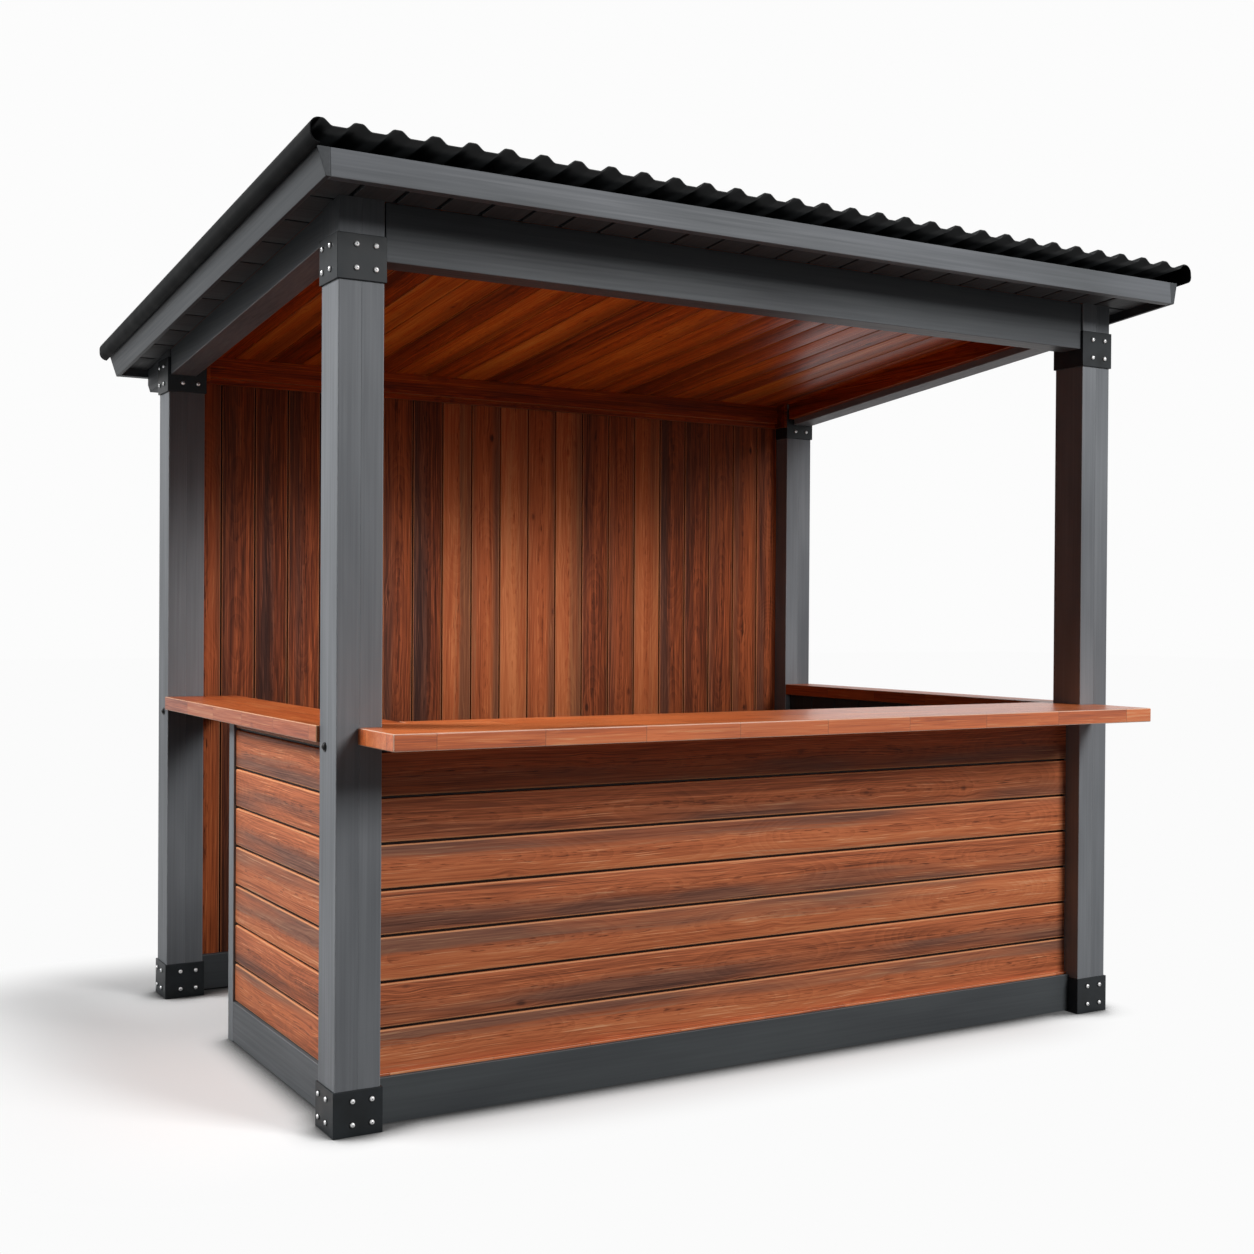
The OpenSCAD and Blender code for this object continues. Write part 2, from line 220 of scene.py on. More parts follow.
def stained_wood(name, palette, heart_palette, edge, spread, heart_depth, heart_m, gloss, shine, stave=None):
    """Flat-sawn hardwood under oil stain: straight fine fibres in soft bands, faint arched rings,
    small knots, pale resin lines, dark flecks along the middle of a board and grey-brown heartwood
    towards its edges. Arrises show paler wood, rubbed and with a painted highlight, and the grooves
    go dark with gathered stain and painted shade."""
    finish, tree = new_finish(name)
    at, board, arris = board_marks(tree)
    if stave:
        brick = add(tree, "ShaderNodeTexBrick", {"offset": 0.43, "offset_frequency": 2}, {
            "Vector": at, "Color1": (0, 0, 0, 1), "Color2": (1, 1, 1, 1), "Mortar": (0.5, 0.5, 0.5, 1),
            "Scale": 1.0, "Mortar Size": 0.5 * MM, "Mortar Smooth": 0.2, "Bias": 0.0,
            "Brick Width": stave[0], "Row Height": stave[1]})
        board = brick.outputs["Color"]
    place = shifted(tree, at, board, (41.3, 17.7, 7.9))
    # Slow wander of the grain across the board, about a metre long
    wander = streaks(tree, place, 0.9, 0.2, 2.0)
    bend = add(tree, RANGE, None, {"Value": wander, "From Min": 0.25, "From Max": 0.75,
                                   "To Min": -8 * MM, "To Max": 8 * MM})
    # Knots a few millimetres to 2 cm across, about one to each metre of board, that the fibres flow round
    cell_x, cell_y, cell_z = 0.36, 0.09, 0.04
    knot_cell = add(tree, VECTORS, TIMES, {0: place, 1: (1 / cell_x, 1 / cell_y, 1 / cell_z)})
    knots = add(tree, "ShaderNodeTexVoronoi", None, {"Vector": knot_cell, "Scale": 1.0})
    knot_off = add(tree, VECTORS, MINUS, {0: knot_cell, 1: knots.outputs["Position"]})
    knot_from = add(tree, VECTORS, TIMES, {0: knot_off, 1: (cell_x / 2, cell_y, cell_z)})
    knot_far = add(tree, VECTORS, LENGTH, {0: knot_from})
    knot_lot = add(tree, "ShaderNodeSeparateColor", None, {0: knots.outputs["Color"]})
    knot_kept = add(tree, RANGE, None, {"Value": knot_lot.outputs["Red"], "From Min": 0.5, "From Max": 0.9})
    knot_reach = add(tree, RANGE, SMOOTH, {"Value": knot_far, "From Min": 3 * MM, "From Max": 36 * MM,
                                           "To Min": -0.8, "To Max": 0.0})
    knot_pull = add(tree, MATH, TIMES, {0: knot_reach, 1: knot_kept})
    knot_axes = add(tree, APART, None, {0: knot_from})
    flow = add(tree, MATH, TIMES_PLUS, {0: knot_axes.outputs["Y"], 1: knot_pull, 2: bend})
    knot_core = add(tree, RANGE, SMOOTH, {"Value": knot_far, "From Min": 2 * MM, "From Max": 11 * MM,
                                          "To Min": -0.45, "To Max": 0.0})
    knot_dark = add(tree, MATH, TIMES, {0: knot_core, 1: knot_kept})
    sway = add(tree, XYZ, None, {"Y": flow})
    bent = add(tree, VECTORS, PLUS, {0: place, 1: sway})
    # Soft bands, 24 mm wide and 1.2 m long
    band = streaks(tree, bent, 1.2, 0.024, 5.0, 0.68)
    # Growth rings 8 mm apart round a pith that runs nearly along the board, so they arch where it dips
    dip = streaks(tree, place, 0.6, 1.0, 1.0)
    depth = add(tree, RANGE, None, {"Value": dip, "From Min": 0.3, "From Max": 0.7,
                                    "To Min": 4 * MM, "To Max": 110 * MM})
    local = add(tree, APART, None, {0: at})
    centre = add(tree, MATH, PLUS, {0: local.outputs["Y"], 1: flow})
    radius_place = add(tree, XYZ, None, {"Y": centre, "Z": depth})
    radius = add(tree, VECTORS, LENGTH, {0: radius_place})
    turns = add(tree, MATH, TIMES_PLUS, {0: radius, 1: 1 / (8 * MM), 2: wander})
    ring = add(tree, MATH, {"operation": "FRACT"}, {0: turns})
    # Fibres and pores, drawn 3 mm wide so that they show in the render
    fibre = streaks(tree, bent, 0.3, 0.003, 4.0, 0.65)
    # Pale resin lines, 0.16 m long and 3 mm wide
    resin = streaks(tree, bent, 0.16, 0.0032, 1.0)
    resin_cut = add(tree, RANGE, None, {"Value": resin, "From Min": 0.62, "From Max": 0.72, "To Max": 0.42})
    # Dark flecks, 50 mm long, towards the middle of the board
    fleck = streaks(tree, bent, 0.05, 0.0042, 3.0)
    off_centre = add(tree, MATH, ABSOLUTE, {0: centre})
    middle = add(tree, RANGE, SMOOTH, {"Value": off_centre, "From Min": 3 * MM, "From Max": 24 * MM,
                                       "To Min": 1.0, "To Max": 0.0})
    fleck_cut = add(tree, RANGE, None, {"Value": fleck, "From Min": 0.58, "From Max": 0.7})
    flecks = add(tree, MATH, TIMES, {0: middle, 1: fleck_cut})
    # Grey-brown heartwood towards one edge of a board or both, in long patches with streaky limits
    lean = add(tree, RANGE, None, {"Value": board, "To Min": -46 * MM, "To Max": 46 * MM})
    leaning = add(tree, MATH, PLUS, {0: centre, 1: lean})
    off_lean = add(tree, MATH, ABSOLUTE, {0: leaning})
    streaked = add(tree, MATH, TIMES_PLUS, {0: band, 1: 90 * MM, 2: off_lean})
    frayed = add(tree, MATH, TIMES_PLUS, {0: fibre, 1: 40 * MM, 2: streaked})
    rim = add(tree, RANGE, SMOOTH, {"Value": frayed, "From Min": 88 * MM, "From Max": 118 * MM})
    patch = streaks(tree, place, heart_m, 0.08, 2.0)
    patch_cut = add(tree, RANGE, None,
                    {"Value": patch, "From Min": 0.34, "From Max": 0.58, "To Max": heart_depth})
    heart = add(tree, MATH, TIMES, {0: rim, 1: patch_cut})
    # The sum of them picks the tone
    tone_band = add(tree, RANGE, None, {"Value": band, "From Min": 0.33, "From Max": 0.67,
                                        "To Min": 0.33, "To Max": 0.77})
    tone_ring = add(tree, MATH, TIMES_PLUS, {0: ring, 1: -0.09, 2: tone_band})
    tone_fibre = add(tree, MATH, TIMES_PLUS, {0: fibre, 1: 1.4, 2: tone_ring})
    tone_resin = add(tree, MATH, PLUS, {0: tone_fibre, 1: resin_cut})
    tone_fleck = add(tree, MATH, TIMES_PLUS, {0: flecks, 1: -0.5, 2: tone_resin})
    mean_lot = -0.72
    lot = add(tree, RANGE, None,
              {"Value": board, "To Min": mean_lot - spread / 2, "To Max": mean_lot + spread / 2})
    tone_lot = add(tree, MATH, PLUS, {0: tone_fleck, 1: lot})
    tone = add(tree, MATH, PLUS, {0: tone_lot, 1: knot_dark})
    ripe = add(tree, "ShaderNodeValToRGB", {"stops": palette}, {0: tone})
    grey = add(tree, "ShaderNodeValToRGB", {"stops": heart_palette}, {0: tone})
    body = add(tree, MIX, RGBA, {0: heart, 6: ripe, 7: grey})
    # Pale arrises: rubbing and a painted highlight; dark grooves: gathered stain and painted shade
    colour = rubbed_highlit_and_groove_shaded(tree, body, arris, rub_and_highlight=1.0, edge=edge, groove_shade="#140804")
    if stave:
        colour = add(tree, MIX, RGBA, {0: brick.outputs["Fac"], 6: colour, 7: linear("#5c3320")})
    surface(tree, colour, sheen=fibre, low=gloss + 0.08, high=gloss - 0.06, relief=tone_fibre,
            strength=0.35, depth=0.6 * MM, rest={"IOR": 1.5, "Specular IOR Level": shine})
    return finish


def painted_timber(name, dark, light, edge, gloss=0.5):
    """Satin opaque paint brushed on planed softwood: long faint brush and grain streaks,
    paler arrises, rubbed and with a painted highlight, and near-black grooves of painted shade.
    """
    finish, tree = new_finish(name)
    at, board, arris = board_marks(tree)
    place = shifted(tree, at, board, (31.7, 13.1, 5.3))
    # Brush strokes about half a metre long and 7 mm wide
    stroke = streaks(tree, place, 0.5, 0.007, 4.0, 0.6)
    # Broad cloudiness, 0.6 m long and 0.12 m wide
    cloud = streaks(tree, place, 0.6, 0.12, 2.0)
    mixed = add(tree, MATH, TIMES_PLUS, {0: cloud, 1: 2.0, 2: stroke})
    lot = add(tree, MATH, TIMES_PLUS, {0: board, 1: 0.16, 2: mixed})
    tone = add(tree, RANGE, None, {"Value": lot, "From Min": 1.0, "From Max": 2.16})
    body = add(tree, MIX, RGBA, {0: tone, 6: linear(dark), 7: linear(light)})
    # Pale arrises: rubbing and a painted highlight; near-black grooves: painted shade
    colour = rubbed_highlit_and_groove_shaded(tree, body, arris, rub_and_highlight=0.6, edge=edge, groove_shade="#060606")
    surface(tree, colour, sheen=stroke, low=gloss + 0.08, high=gloss - 0.06, relief=stroke,
            strength=0.16, depth=0.5 * MM, rest={"IOR": 1.48, "Specular IOR Level": 0.2})
    return finish


def coated_steel(name, dark, light, grit_mm, gloss, metallic=0.0, shine=0.18):
    """Steel under a thin coat, or bare and plated: fine grit in the surface and faint handling marks."""
    finish, tree = new_finish(name)
    at = add(tree, "ShaderNodeTexCoord").outputs["Object"]
    # Handling marks about 7 cm across
    mark = add(tree, NOISE, None, {"Vector": at, "Scale": 1 / 0.07, "Detail": 4.0})
    grit = add(tree, NOISE, None, {"Vector": at, "Scale": 1 / (grit_mm * MM), "Detail": 2.0})
    tone = add(tree, RANGE, None, {"Value": mark, "From Min": 0.3, "From Max": 0.7})
    colour = add(tree, MIX, RGBA, {0: tone, 6: linear(dark), 7: linear(light)})
    surface(tree, colour, sheen=mark, low=gloss - 0.06, high=gloss + 0.08, relief=grit,
            strength=0.2, depth=0.3 * MM, rest={"Metallic": metallic, "Specular IOR Level": shine})
    return finish


BOARD_TONES = [(0.0, "#683a28"), (0.25, "#a05839"), (0.5, "#cc734a"), (0.75, "#dd8657"), (1.0, "#efae82")]
BOARD_HEART = [(0.0, "#432e29"), (0.3, "#61443b"), (0.6, "#7d594b"), (1.0, "#99725a")]
WALL_TONES = [(0.0, "#451f0f"), (0.25, "#76381f"), (0.5, "#a6532c"), (0.75, "#b86035"), (1.0, "#cc7a4a")]
WALL_HEART = [(0.0, "#2c1a15"), (0.3, "#462b23"), (0.6, "#64402f"), (1.0, "#875a3c")]
CEILING_SHADED_TONES = [(0.0, "#4c1803"), (0.25, "#863006"), (0.5, "#b84a0c"), (0.75, "#ca5e16"), (1.0, "#d87c2e")]
CEILING_SHADED_HEART = [(0.0, "#331002"), (0.5, "#602004"), (1.0, "#8e3c0a")]
COUNTER_TONES = [(0.0, "#8d3e1e"), (0.25, "#c9612c"), (0.5, "#e8783c"), (0.75, "#f28b50"), (1.0, "#fab57e")]
SIDE_TOP_SHADE_TONES = [(0.0, "#743016"), (0.25, "#a84c1f"), (0.5, "#c25f2b"), (0.75, "#cc703a"), (1.0, "#d89660")]
COUNTER_HEART = [(0.0, "#6a2e18"), (1.0, "#b45c32")]

# Oil-stained boards, matt on the walls and varnished on the ceiling, whose deeper red-brown tones are partly
# painted shade and painted warm bounce light
cladding_wood = stained_wood("stained_cladding_boards", BOARD_TONES, BOARD_HEART, "#f0a876",
                             spread=0.22, heart_depth=0.84, heart_m=0.8, gloss=0.5, shine=0.14)
wall_wood = stained_wood("stained_wall_boards", WALL_TONES, WALL_HEART, "#c88258",
                         spread=0.7, heart_depth=0.8, heart_m=2.4, gloss=0.52, shine=0.1)
ceiling_shaded_wood = stained_wood("varnished_ceiling_boards_painted_shade", CEILING_SHADED_TONES, CEILING_SHADED_HEART, "#b86428",
                            spread=0.6, heart_depth=0.7, heart_m=1.5, gloss=0.36, shine=0.13)
# Worktops glued up from staves; the side ones in a darker, duller copy of the front one's oiled wood, as
# painted shade
counter_wood = stained_wood("oiled_stave_worktop", COUNTER_TONES, COUNTER_HEART, "#f2cdb2",
                            spread=0.24, heart_depth=0.3, heart_m=0.6, gloss=0.3, shine=0.62, stave=STAVE)
shaded_side_top_wood = stained_wood("oiled_stave_worktop_painted_shade", SIDE_TOP_SHADE_TONES, COUNTER_HEART, "#e0ac84",
                             spread=0.24, heart_depth=0.3, heart_m=0.6, gloss=0.36, shine=0.3, stave=STAVE)
# Satin anthracite paint
frame_paint = painted_timber("anthracite_satin_painted_timber", "#686b6f", "#878a8e", "#aaadb0")
# A darker copy of the paint on the cross beams, as painted shade under the eaves
shaded_beam_paint = painted_timber("anthracite_beam_paint_painted_shade", "#47494c", "#5a5d60", "#7c7f82")
# Darker copies of the paint on the boards round the roof, as painted shade; darkest on the sides, under the
# verges
fascia_shade_paint = painted_timber("anthracite_fascia_paint_painted_shade", "#585b5e", "#72757a", "#909396")
side_board_shade_paint = painted_timber("anthracite_side_board_paint_painted_shade", "#3a3d40", "#4a4d50", "#74777a")
# A darker, duller copy of the paint on boards that face down; the darker colour is painted shade
soffit_shade_paint = painted_timber("anthracite_soffit_paint_painted_shade", "#3a3b3c", "#4a4b4c", "#6c6d6e", gloss=0.6)
# Plinths in darker copies of the paint, the side ones less dark
plinth_paint = painted_timber("anthracite_painted_plinth_boards", "#404346", "#525658", "#8a8d90")
side_plinth_paint = painted_timber("anthracite_painted_side_plinths", "#515457", "#686b6e", "#8e9194")
# Near-black paint on the lining inside the counter walls
lining_paint = painted_timber("dark_painted_lining_boards", "#1e2021", "#292b2d", "#3c3f41", gloss=0.55)
# Black powder coat, slightly orange-peeled
black_steel = coated_steel("black_powder_coated_steel", "#1c1f21", "#282c2f", grit_mm=2.0, gloss=0.42)
# Bright zinc plate on bolt heads, and blackened steel on washers and screws; round and in the zinc heads, the
# black washers and sockets are painted shade
bolt_zinc = coated_steel("bright_zinc_plated_bolts", "#f6f7f7", "#ffffff",
                         grit_mm=1.5, gloss=0.3, metallic=0.35)
blackened_steel_and_shade = coated_steel("blackened_steel_bolts_and_painted_shade", "#0f1011", "#1a1b1c", grit_mm=1.5, gloss=0.35)
# Black plastic-coated sheet with a dull gloss; the verges in a darker, duller copy of it, the darker colour
# painted shade
sheet_coat = coated_steel("black_coated_corrugated_steel", "#191a1b", "#282a2b", grit_mm=3.0, gloss=0.4)
shaded_verge_coat = coated_steel("black_coated_rolled_verge_painted_shade", "#0c0d0e", "#151617",
                          grit_mm=3.0, gloss=0.55, shine=0.03)
# Sawn battens, stained dark, with a rough face like coarse grit
batten_stain = coated_steel("dark_sawn_roof_battens", "#191817", "#262422", grit_mm=4.0, gloss=0.7)


# Places from the frame

CORNERS = ("front_left", "front_right", "back_left", "back_right")
posts = {corner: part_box(f"{corner}_post") for corner in CORNERS}
front_post = posts["front_left"]
back_post = posts["back_left"]
plate = front_post[0].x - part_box("front_left_shoe")[0].x
slope = (front_post[1].z - back_post[1].z) / (back_post[0].y - front_post[0].y)
roof_pitch = math.atan(slope)


def deck_z(y):
    """Height of the roof deck's underside."""
    return front_post[1].z - slope * (y - front_post[0].y)


roof_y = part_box("front_beam")[0].y
roof_frame = Matrix.Translation((0, roof_y, deck_z(roof_y))) @ Matrix.Rotation(-roof_pitch, 4, "X")


def roof_points(node):
    """A node's points in the roof's own frame: across, down the slope and out of it."""
    back = roof_frame.inverted()
    return [back @ v.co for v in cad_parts[node].data.vertices]


def roof_box(node):
    """A node's box in the roof's own frame."""
    points = roof_points(node)
    low = Vector([min(p[i] for p in points) for i in range(3)])
    high = Vector([max(p[i] for p in points) for i in range(3)])
    return low, high


# Mesh code

def prism(outline, axis, low, high):
    """The outline lies in the other two axes, in their order, and runs along axis."""
    order = {"X": (1, 2, 0), "Y": (0, 2, 1), "Z": (0, 1, 2)}[axis]
    mesh = bmesh.new()
    rings = []
    for at in (low, high):
        ring = []
        for first, second in outline:
            place = [0.0, 0.0, 0.0]
            place[order[0]] = first
            place[order[1]] = second
            place[order[2]] = at
            ring.append(mesh.verts.new(place))
        rings.append(ring)
    mesh.faces.new(rings[0])
    mesh.faces.new(rings[1])
    for i in range(len(outline)):
        j = (i + 1) % len(outline)
        mesh.faces.new((rings[0][i], rings[0][j], rings[1][j], rings[1][i]))
    bmesh.ops.recalc_face_normals(mesh, faces=mesh.faces)
    return mesh


def ease(mesh, radius, pick=None, steps=3):
    """Rounds the picked edges, or all of them."""
    edges = [e for e in mesh.edges if pick is None or pick(e)]
    bmesh.ops.bevel(mesh, geom=edges, offset=radius, offset_type="OFFSET", segments=steps,
                    profile=0.5, affect="EDGES", clamp_overlap=True)
    return mesh


def block(low, high):
    """Outline of a rectangle from its two corners."""
    return [(low[0], low[1]), (high[0], low[1]), (high[0], high[1]), (low[0], high[1])]


def sloped(near, far, under):
    """Outline, seen from the side, of a timber with a level underside whose top follows the roof."""
    return [(near, under), (far, under), (far, deck_z(far)), (near, deck_z(near))]


def hung(near, far, height):
    """Outline, seen from the side, of a timber of one height that follows the roof."""
    return [(y, deck_z(y) - height) for y in (near, far)] + [(y, deck_z(y)) for y in (far, near)]


def show(name, data, finishes, nodes=()):
    """Makes a mesh a piece of the object. With several finishes, each face keeps the one it has."""
    data.name = name
    kept = [data.materials[face.material_index].name for face in data.polygons] if len(finishes) > 1 else []
    data.materials.clear()
    for finish in finishes:
        data.materials.append(finish)
    order = [finish.name for finish in finishes]
    for face, finish in zip(data.polygons, kept):
        face.material_index = order.index(finish)
    piece = bpy.data.objects.new(name, data)
    bpy.context.scene.collection.objects.link(piece)
    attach(piece, ROOT)
    if nodes:
        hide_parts(*nodes)


lots = random.Random(LOT_SEED)


def joined(parts, along, place=None):
    """Joins parts into one mesh, with the grain, lot and arris attributes that the finishes read."""
    whole = bmesh.new()
    counts = []
    for part in parts:
        data = bpy.data.meshes.new("part")
        part.to_mesh(data)
        part.free()
        whole.from_mesh(data)
        counts.append(len(data.vertices))
        bpy.data.meshes.remove(data)
    data = bpy.data.meshes.new("whole")
    whole.to_mesh(data)
    whole.free()
    order = {"X": (0, 1, 2), "Y": (1, 0, 2), "Z": (2, 0, 1)}[along]
    grain = [vertex.co[k] for vertex in data.vertices for k in order]
    lot = [share for count in counts for share in [lots.random()] * count]
    slant = []
    for face in data.polygons:
        x, y, z = (abs(c) for c in face.normal)
        slant.append(min(1.0, max(0.0, ARRIS_GAIN * (x * y + y * z + z * x) - ARRIS_FLOOR)))
    for name, kind, domain, key, values in (("grain_at", "FLOAT_VECTOR", "POINT", "vector", grain),
                                            ("board", "FLOAT", "POINT", "value", lot),
                                            ("arris", "FLOAT", "FACE", "value", slant)):
        data.attributes.new(name, kind, domain).data.foreach_set(key, values)
    if place:
        data.transform(place)
    return data


def trimmed(data, planes):
    """Cuts a mesh by planes, given as a point and the direction that is cut away, and closes it."""
    mesh = bmesh.new()
    mesh.from_mesh(data)
    for point, outward in planes:
        whole = mesh.verts[:] + mesh.edges[:] + mesh.faces[:]
        cut = bmesh.ops.bisect_plane(mesh, geom=whole, dist=0.01 * MM, plane_co=point,
                                     plane_no=outward, clear_outer=True)
        rim = [e for e in cut["geom_cut"] if isinstance(e, bmesh.types.BMEdge)]
        bmesh.ops.holes_fill(mesh, edges=rim, sides=0)
    mesh.to_mesh(data)
    mesh.free()
    return data


# Geometry Nodes

def new_tree(name, inputs, grow):
    """A tree built by grow, with named inputs and one output, and its inputs' identifiers."""
    tree = bpy.data.node_groups.new(name, "GeometryNodeTree")
    tree.interface.new_socket(name="Geometry", in_out="OUTPUT", socket_type="NodeSocketGeometry")
    kinds = {"size": "NodeSocketFloat", "count": "NodeSocketInt", "finish": "NodeSocketMaterial",
             "shape": "NodeSocketGeometry"}
    keys = {}
    for kind, names in inputs:
        for key in names:
            socket = tree.interface.new_socket(name=key, in_out="INPUT", socket_type=kinds[kind])
            keys[key] = socket.identifier
    grow(tree)
    return tree, keys


def grown(tree_and_keys, values, start=None, thickness=None):
    """Runs a tree with its inputs set and returns a plain mesh."""
    tree, keys = tree_and_keys
    data = start or bpy.data.meshes.new("start")
    carrier = bpy.data.objects.new("carrier", data)
    bpy.context.scene.collection.objects.link(carrier)
    modifier = carrier.modifiers.new("grow", "NODES")
    modifier.node_group = tree
    for name, value in values.items():
        modifier[keys[name]] = value
    if thickness:
        wall = carrier.modifiers.new("wall", "SOLIDIFY")
        wall.thickness = thickness
        wall.offset = -1.0
    bpy.context.view_layer.update()
    evaluated = carrier.evaluated_get(bpy.context.evaluated_depsgraph_get())
    mesh = bpy.data.meshes.new_from_object(evaluated)
    bpy.data.objects.remove(carrier)
    bpy.data.meshes.remove(data)
    return mesh


def grow_board_row(tree):
    """Row of tongued boards: each runs along X, they follow each other along Y, and Z is their face."""
    given = add(tree, "NodeGroupInput").outputs
    cover = add(tree, MATH, MINUS, {0: given["Pitch"], 1: given["Groove"]})
    far = add(tree, XYZ, None, {"X": given["Length"]})
    run = add(tree, "GeometryNodeCurvePrimitiveLine", None, {"Start": (0, 0, 0), "End": far})
    section = add(tree, "GeometryNodeCurvePrimitiveQuadrilateral", None,
                  {"Width": cover, "Height": given["Thickness"]})
    eased = add(tree, "GeometryNodeFilletCurve", {"mode": "POLY"},
                {"Curve": section, "Count": 3, "Radius": given["Ease"], "Limit Radius": True})
    plank = add(tree, "GeometryNodeCurveToMesh", None,
                {"Curve": run, "Profile Curve": eased, "Fill Caps": True})
    slim = add(tree, "GeometryNodeCurvePrimitiveQuadrilateral", None,
               {"Width": given["Tongue"], "Height": given["Tongue Thickness"]})
    strip = add(tree, "GeometryNodeCurveToMesh", None,
                {"Curve": run, "Profile Curve": slim, "Fill Caps": True})
    half = add(tree, MATH, TIMES, {0: given["Pitch"], 1: 0.5})
    beside = add(tree, XYZ, None, {"Y": half})
    tongue = add(tree, MOVE, None, {"Geometry": strip, "Translation": beside})
    # Eased faces slant and are marked to go paler, for rubbing and as a painted highlight; tongues lie in
    #     the joint and are marked to go dark, as painted shade and, on stained boards, gathered stain
    normal = add(tree, "GeometryNodeInputNormal")
    facing = add(tree, APART, None, {0: normal})
    slant = add(tree, MATH, TIMES, {0: facing.outputs["Y"], 1: facing.outputs["Z"]})
    edge = add(tree, MATH, ABSOLUTE, {0: slant})
    rubbed_and_highlit = add(tree, MATH, CLAMPED_TIMES, {0: edge, 1: ROW_ARRIS_GAIN})
    pale = add(tree, STORE, PER_FACE, {"Geometry": plank, "Name": "arris", "Value": rubbed_and_highlit})
    dark = add(tree, STORE, PER_FACE, {"Geometry": tongue, "Name": "arris", "Value": -1.0})
    both = add(tree, "GeometryNodeJoinGeometry", None, {0: pale})
    tree.links.new(dark.outputs[0], both.inputs[0])
    spot = add(tree, "GeometryNodeInputPosition")
    grain = add(tree, STORE, {"data_type": "FLOAT_VECTOR", "domain": "POINT"},
                {"Geometry": both, "Name": "grain_at", "Value": spot})
    step = add(tree, XYZ, None, {"Y": given["Pitch"]})
    line = add(tree, "GeometryNodeMeshLine", None, {"Count": given["Count"], "Offset": step})
    laid = add(tree, "GeometryNodeInstanceOnPoints", None, {"Points": line, "Instance": grain})
    draw = add(tree, "FunctionNodeRandomValue", {"data_type": "FLOAT"}, {"Seed": given["Seed"]})
    lot = add(tree, STORE, {"data_type": "FLOAT", "domain": "INSTANCE"},
              {"Geometry": laid, "Name": "board", "Value": draw.outputs[1]})
    real = add(tree, "GeometryNodeRealizeInstances", None, {0: lot})
    done = add(tree, COAT, None, {"Geometry": real, "Material": given["Finish"]})
    add(tree, "NodeGroupOutput", None, {0: done})


board_row = new_tree("board_row", [
    ("size", ("Length", "Pitch", "Groove", "Thickness", "Ease", "Tongue", "Tongue Thickness")),
    ("count", ("Count", "Seed")), ("finish", ("Finish",))], grow_board_row)


def row(box, turn, pitch, groove, easing, seed, finish, place=Matrix.Identity(4)):
    """A row of boards that fills a box. They run, follow each other and face in turn's three ways."""
    low, high = box
    run, step, face = (max(range(3), key=lambda axis: abs(way[axis])) for way in turn)
    begin = Vector((0, 0, 0))
    begin[run] = low[run] if turn[0][run] > 0 else high[run]
    begin[step] = low[step] + pitch / 2 if turn[1][step] > 0 else high[step] - pitch / 2
    begin[face] = (low[face] + high[face]) / 2
    data = grown(board_row, {
        "Length": high[run] - low[run], "Count": math.ceil((high[step] - low[step]) / pitch),
        "Pitch": pitch, "Groove": groove, "Thickness": high[face] - low[face], "Ease": easing,
        "Tongue": TONGUE, "Tongue Thickness": TONGUE_T, "Seed": seed, "Finish": finish})
    data.transform(place @ Matrix.Translation(begin) @ Matrix(turn).transposed().to_4x4())
    return data


def grow_fasteners(tree):
    """A domed head with a socket, on a washer, at each point, facing the way that the point holds."""
    given = add(tree, "NodeGroupInput").outputs
    ball = add(tree, "GeometryNodeMeshUVSphere", None, {"Segments": 14, "Rings": 8, "Radius": 1.0})
    dome_size = add(tree, XYZ, None,
                    {"X": given["Head Radius"], "Y": given["Head Radius"], "Z": given["Head Height"]})
    lift = add(tree, XYZ, None, {"Z": given["Washer Height"]})
    dome = add(tree, MOVE, None, {"Geometry": ball, "Scale": dome_size, "Translation": lift})
    round_dome = add(tree, "GeometryNodeSetShadeSmooth", None, {"Geometry": dome})
    marked = add(tree, STORE, PER_FACE, {"Geometry": round_dome, "Name": "head", "Value": 1.0})
    disc = add(tree, "GeometryNodeMeshCylinder", None,
               {"Vertices": 16, "Radius": given["Washer Radius"], "Depth": given["Washer Height"]})
    half = add(tree, MATH, TIMES, {0: given["Washer Height"], 1: 0.5})
    seat = add(tree, XYZ, None, {"Z": half})
    washer = add(tree, MOVE, None, {"Geometry": disc, "Translation": seat})
    # The socket is a flat hexagon at the crown in the washer's finish; where that is black, it is painted
    # shade for a hollow
    hexagon = add(tree, "GeometryNodeMeshCylinder", None,
                  {"Vertices": 6, "Radius": given["Socket Radius"], "Depth": SOCKET_T})
    rise = add(tree, MATH, PLUS, {0: given["Washer Height"], 1: given["Head Height"]})
    sunk = add(tree, MATH, MINUS, {0: rise, 1: SOCKET_SUNK})
    crown = add(tree, XYZ, None, {"Z": sunk})
    socket = add(tree, MOVE, None, {"Geometry": hexagon, "Translation": crown})
    whole = add(tree, "GeometryNodeJoinGeometry", None, {0: marked})
    tree.links.new(washer.outputs[0], whole.inputs[0])
    tree.links.new(socket.outputs[0], whole.inputs[0])
    out = add(tree, "GeometryNodeInputNamedAttribute", {"data_type": "FLOAT_VECTOR"}, {"Name": "out"})
    facing = add(tree, "FunctionNodeAlignRotationToVector", {"axis": "Z"}, {"Vector": out})
    laid = add(tree, "GeometryNodeInstanceOnPoints", None,
               {"Points": given["Points"], "Instance": whole, "Rotation": facing})
    real = add(tree, "GeometryNodeRealizeInstances", None, {0: laid})
    base = add(tree, COAT, None, {"Geometry": real, "Material": given["Washer"]})
    head = add(tree, "GeometryNodeInputNamedAttribute", {"data_type": "FLOAT"}, {"Name": "head"})
    is_head = add(tree, "FunctionNodeCompare", {"data_type": "FLOAT", "operation": "GREATER_THAN"},
                  {0: head, 1: 0.5})
    done = add(tree, COAT, None, {"Geometry": base, "Selection": is_head, "Material": given["Head"]})
    add(tree, "NodeGroupOutput", None, {0: done})


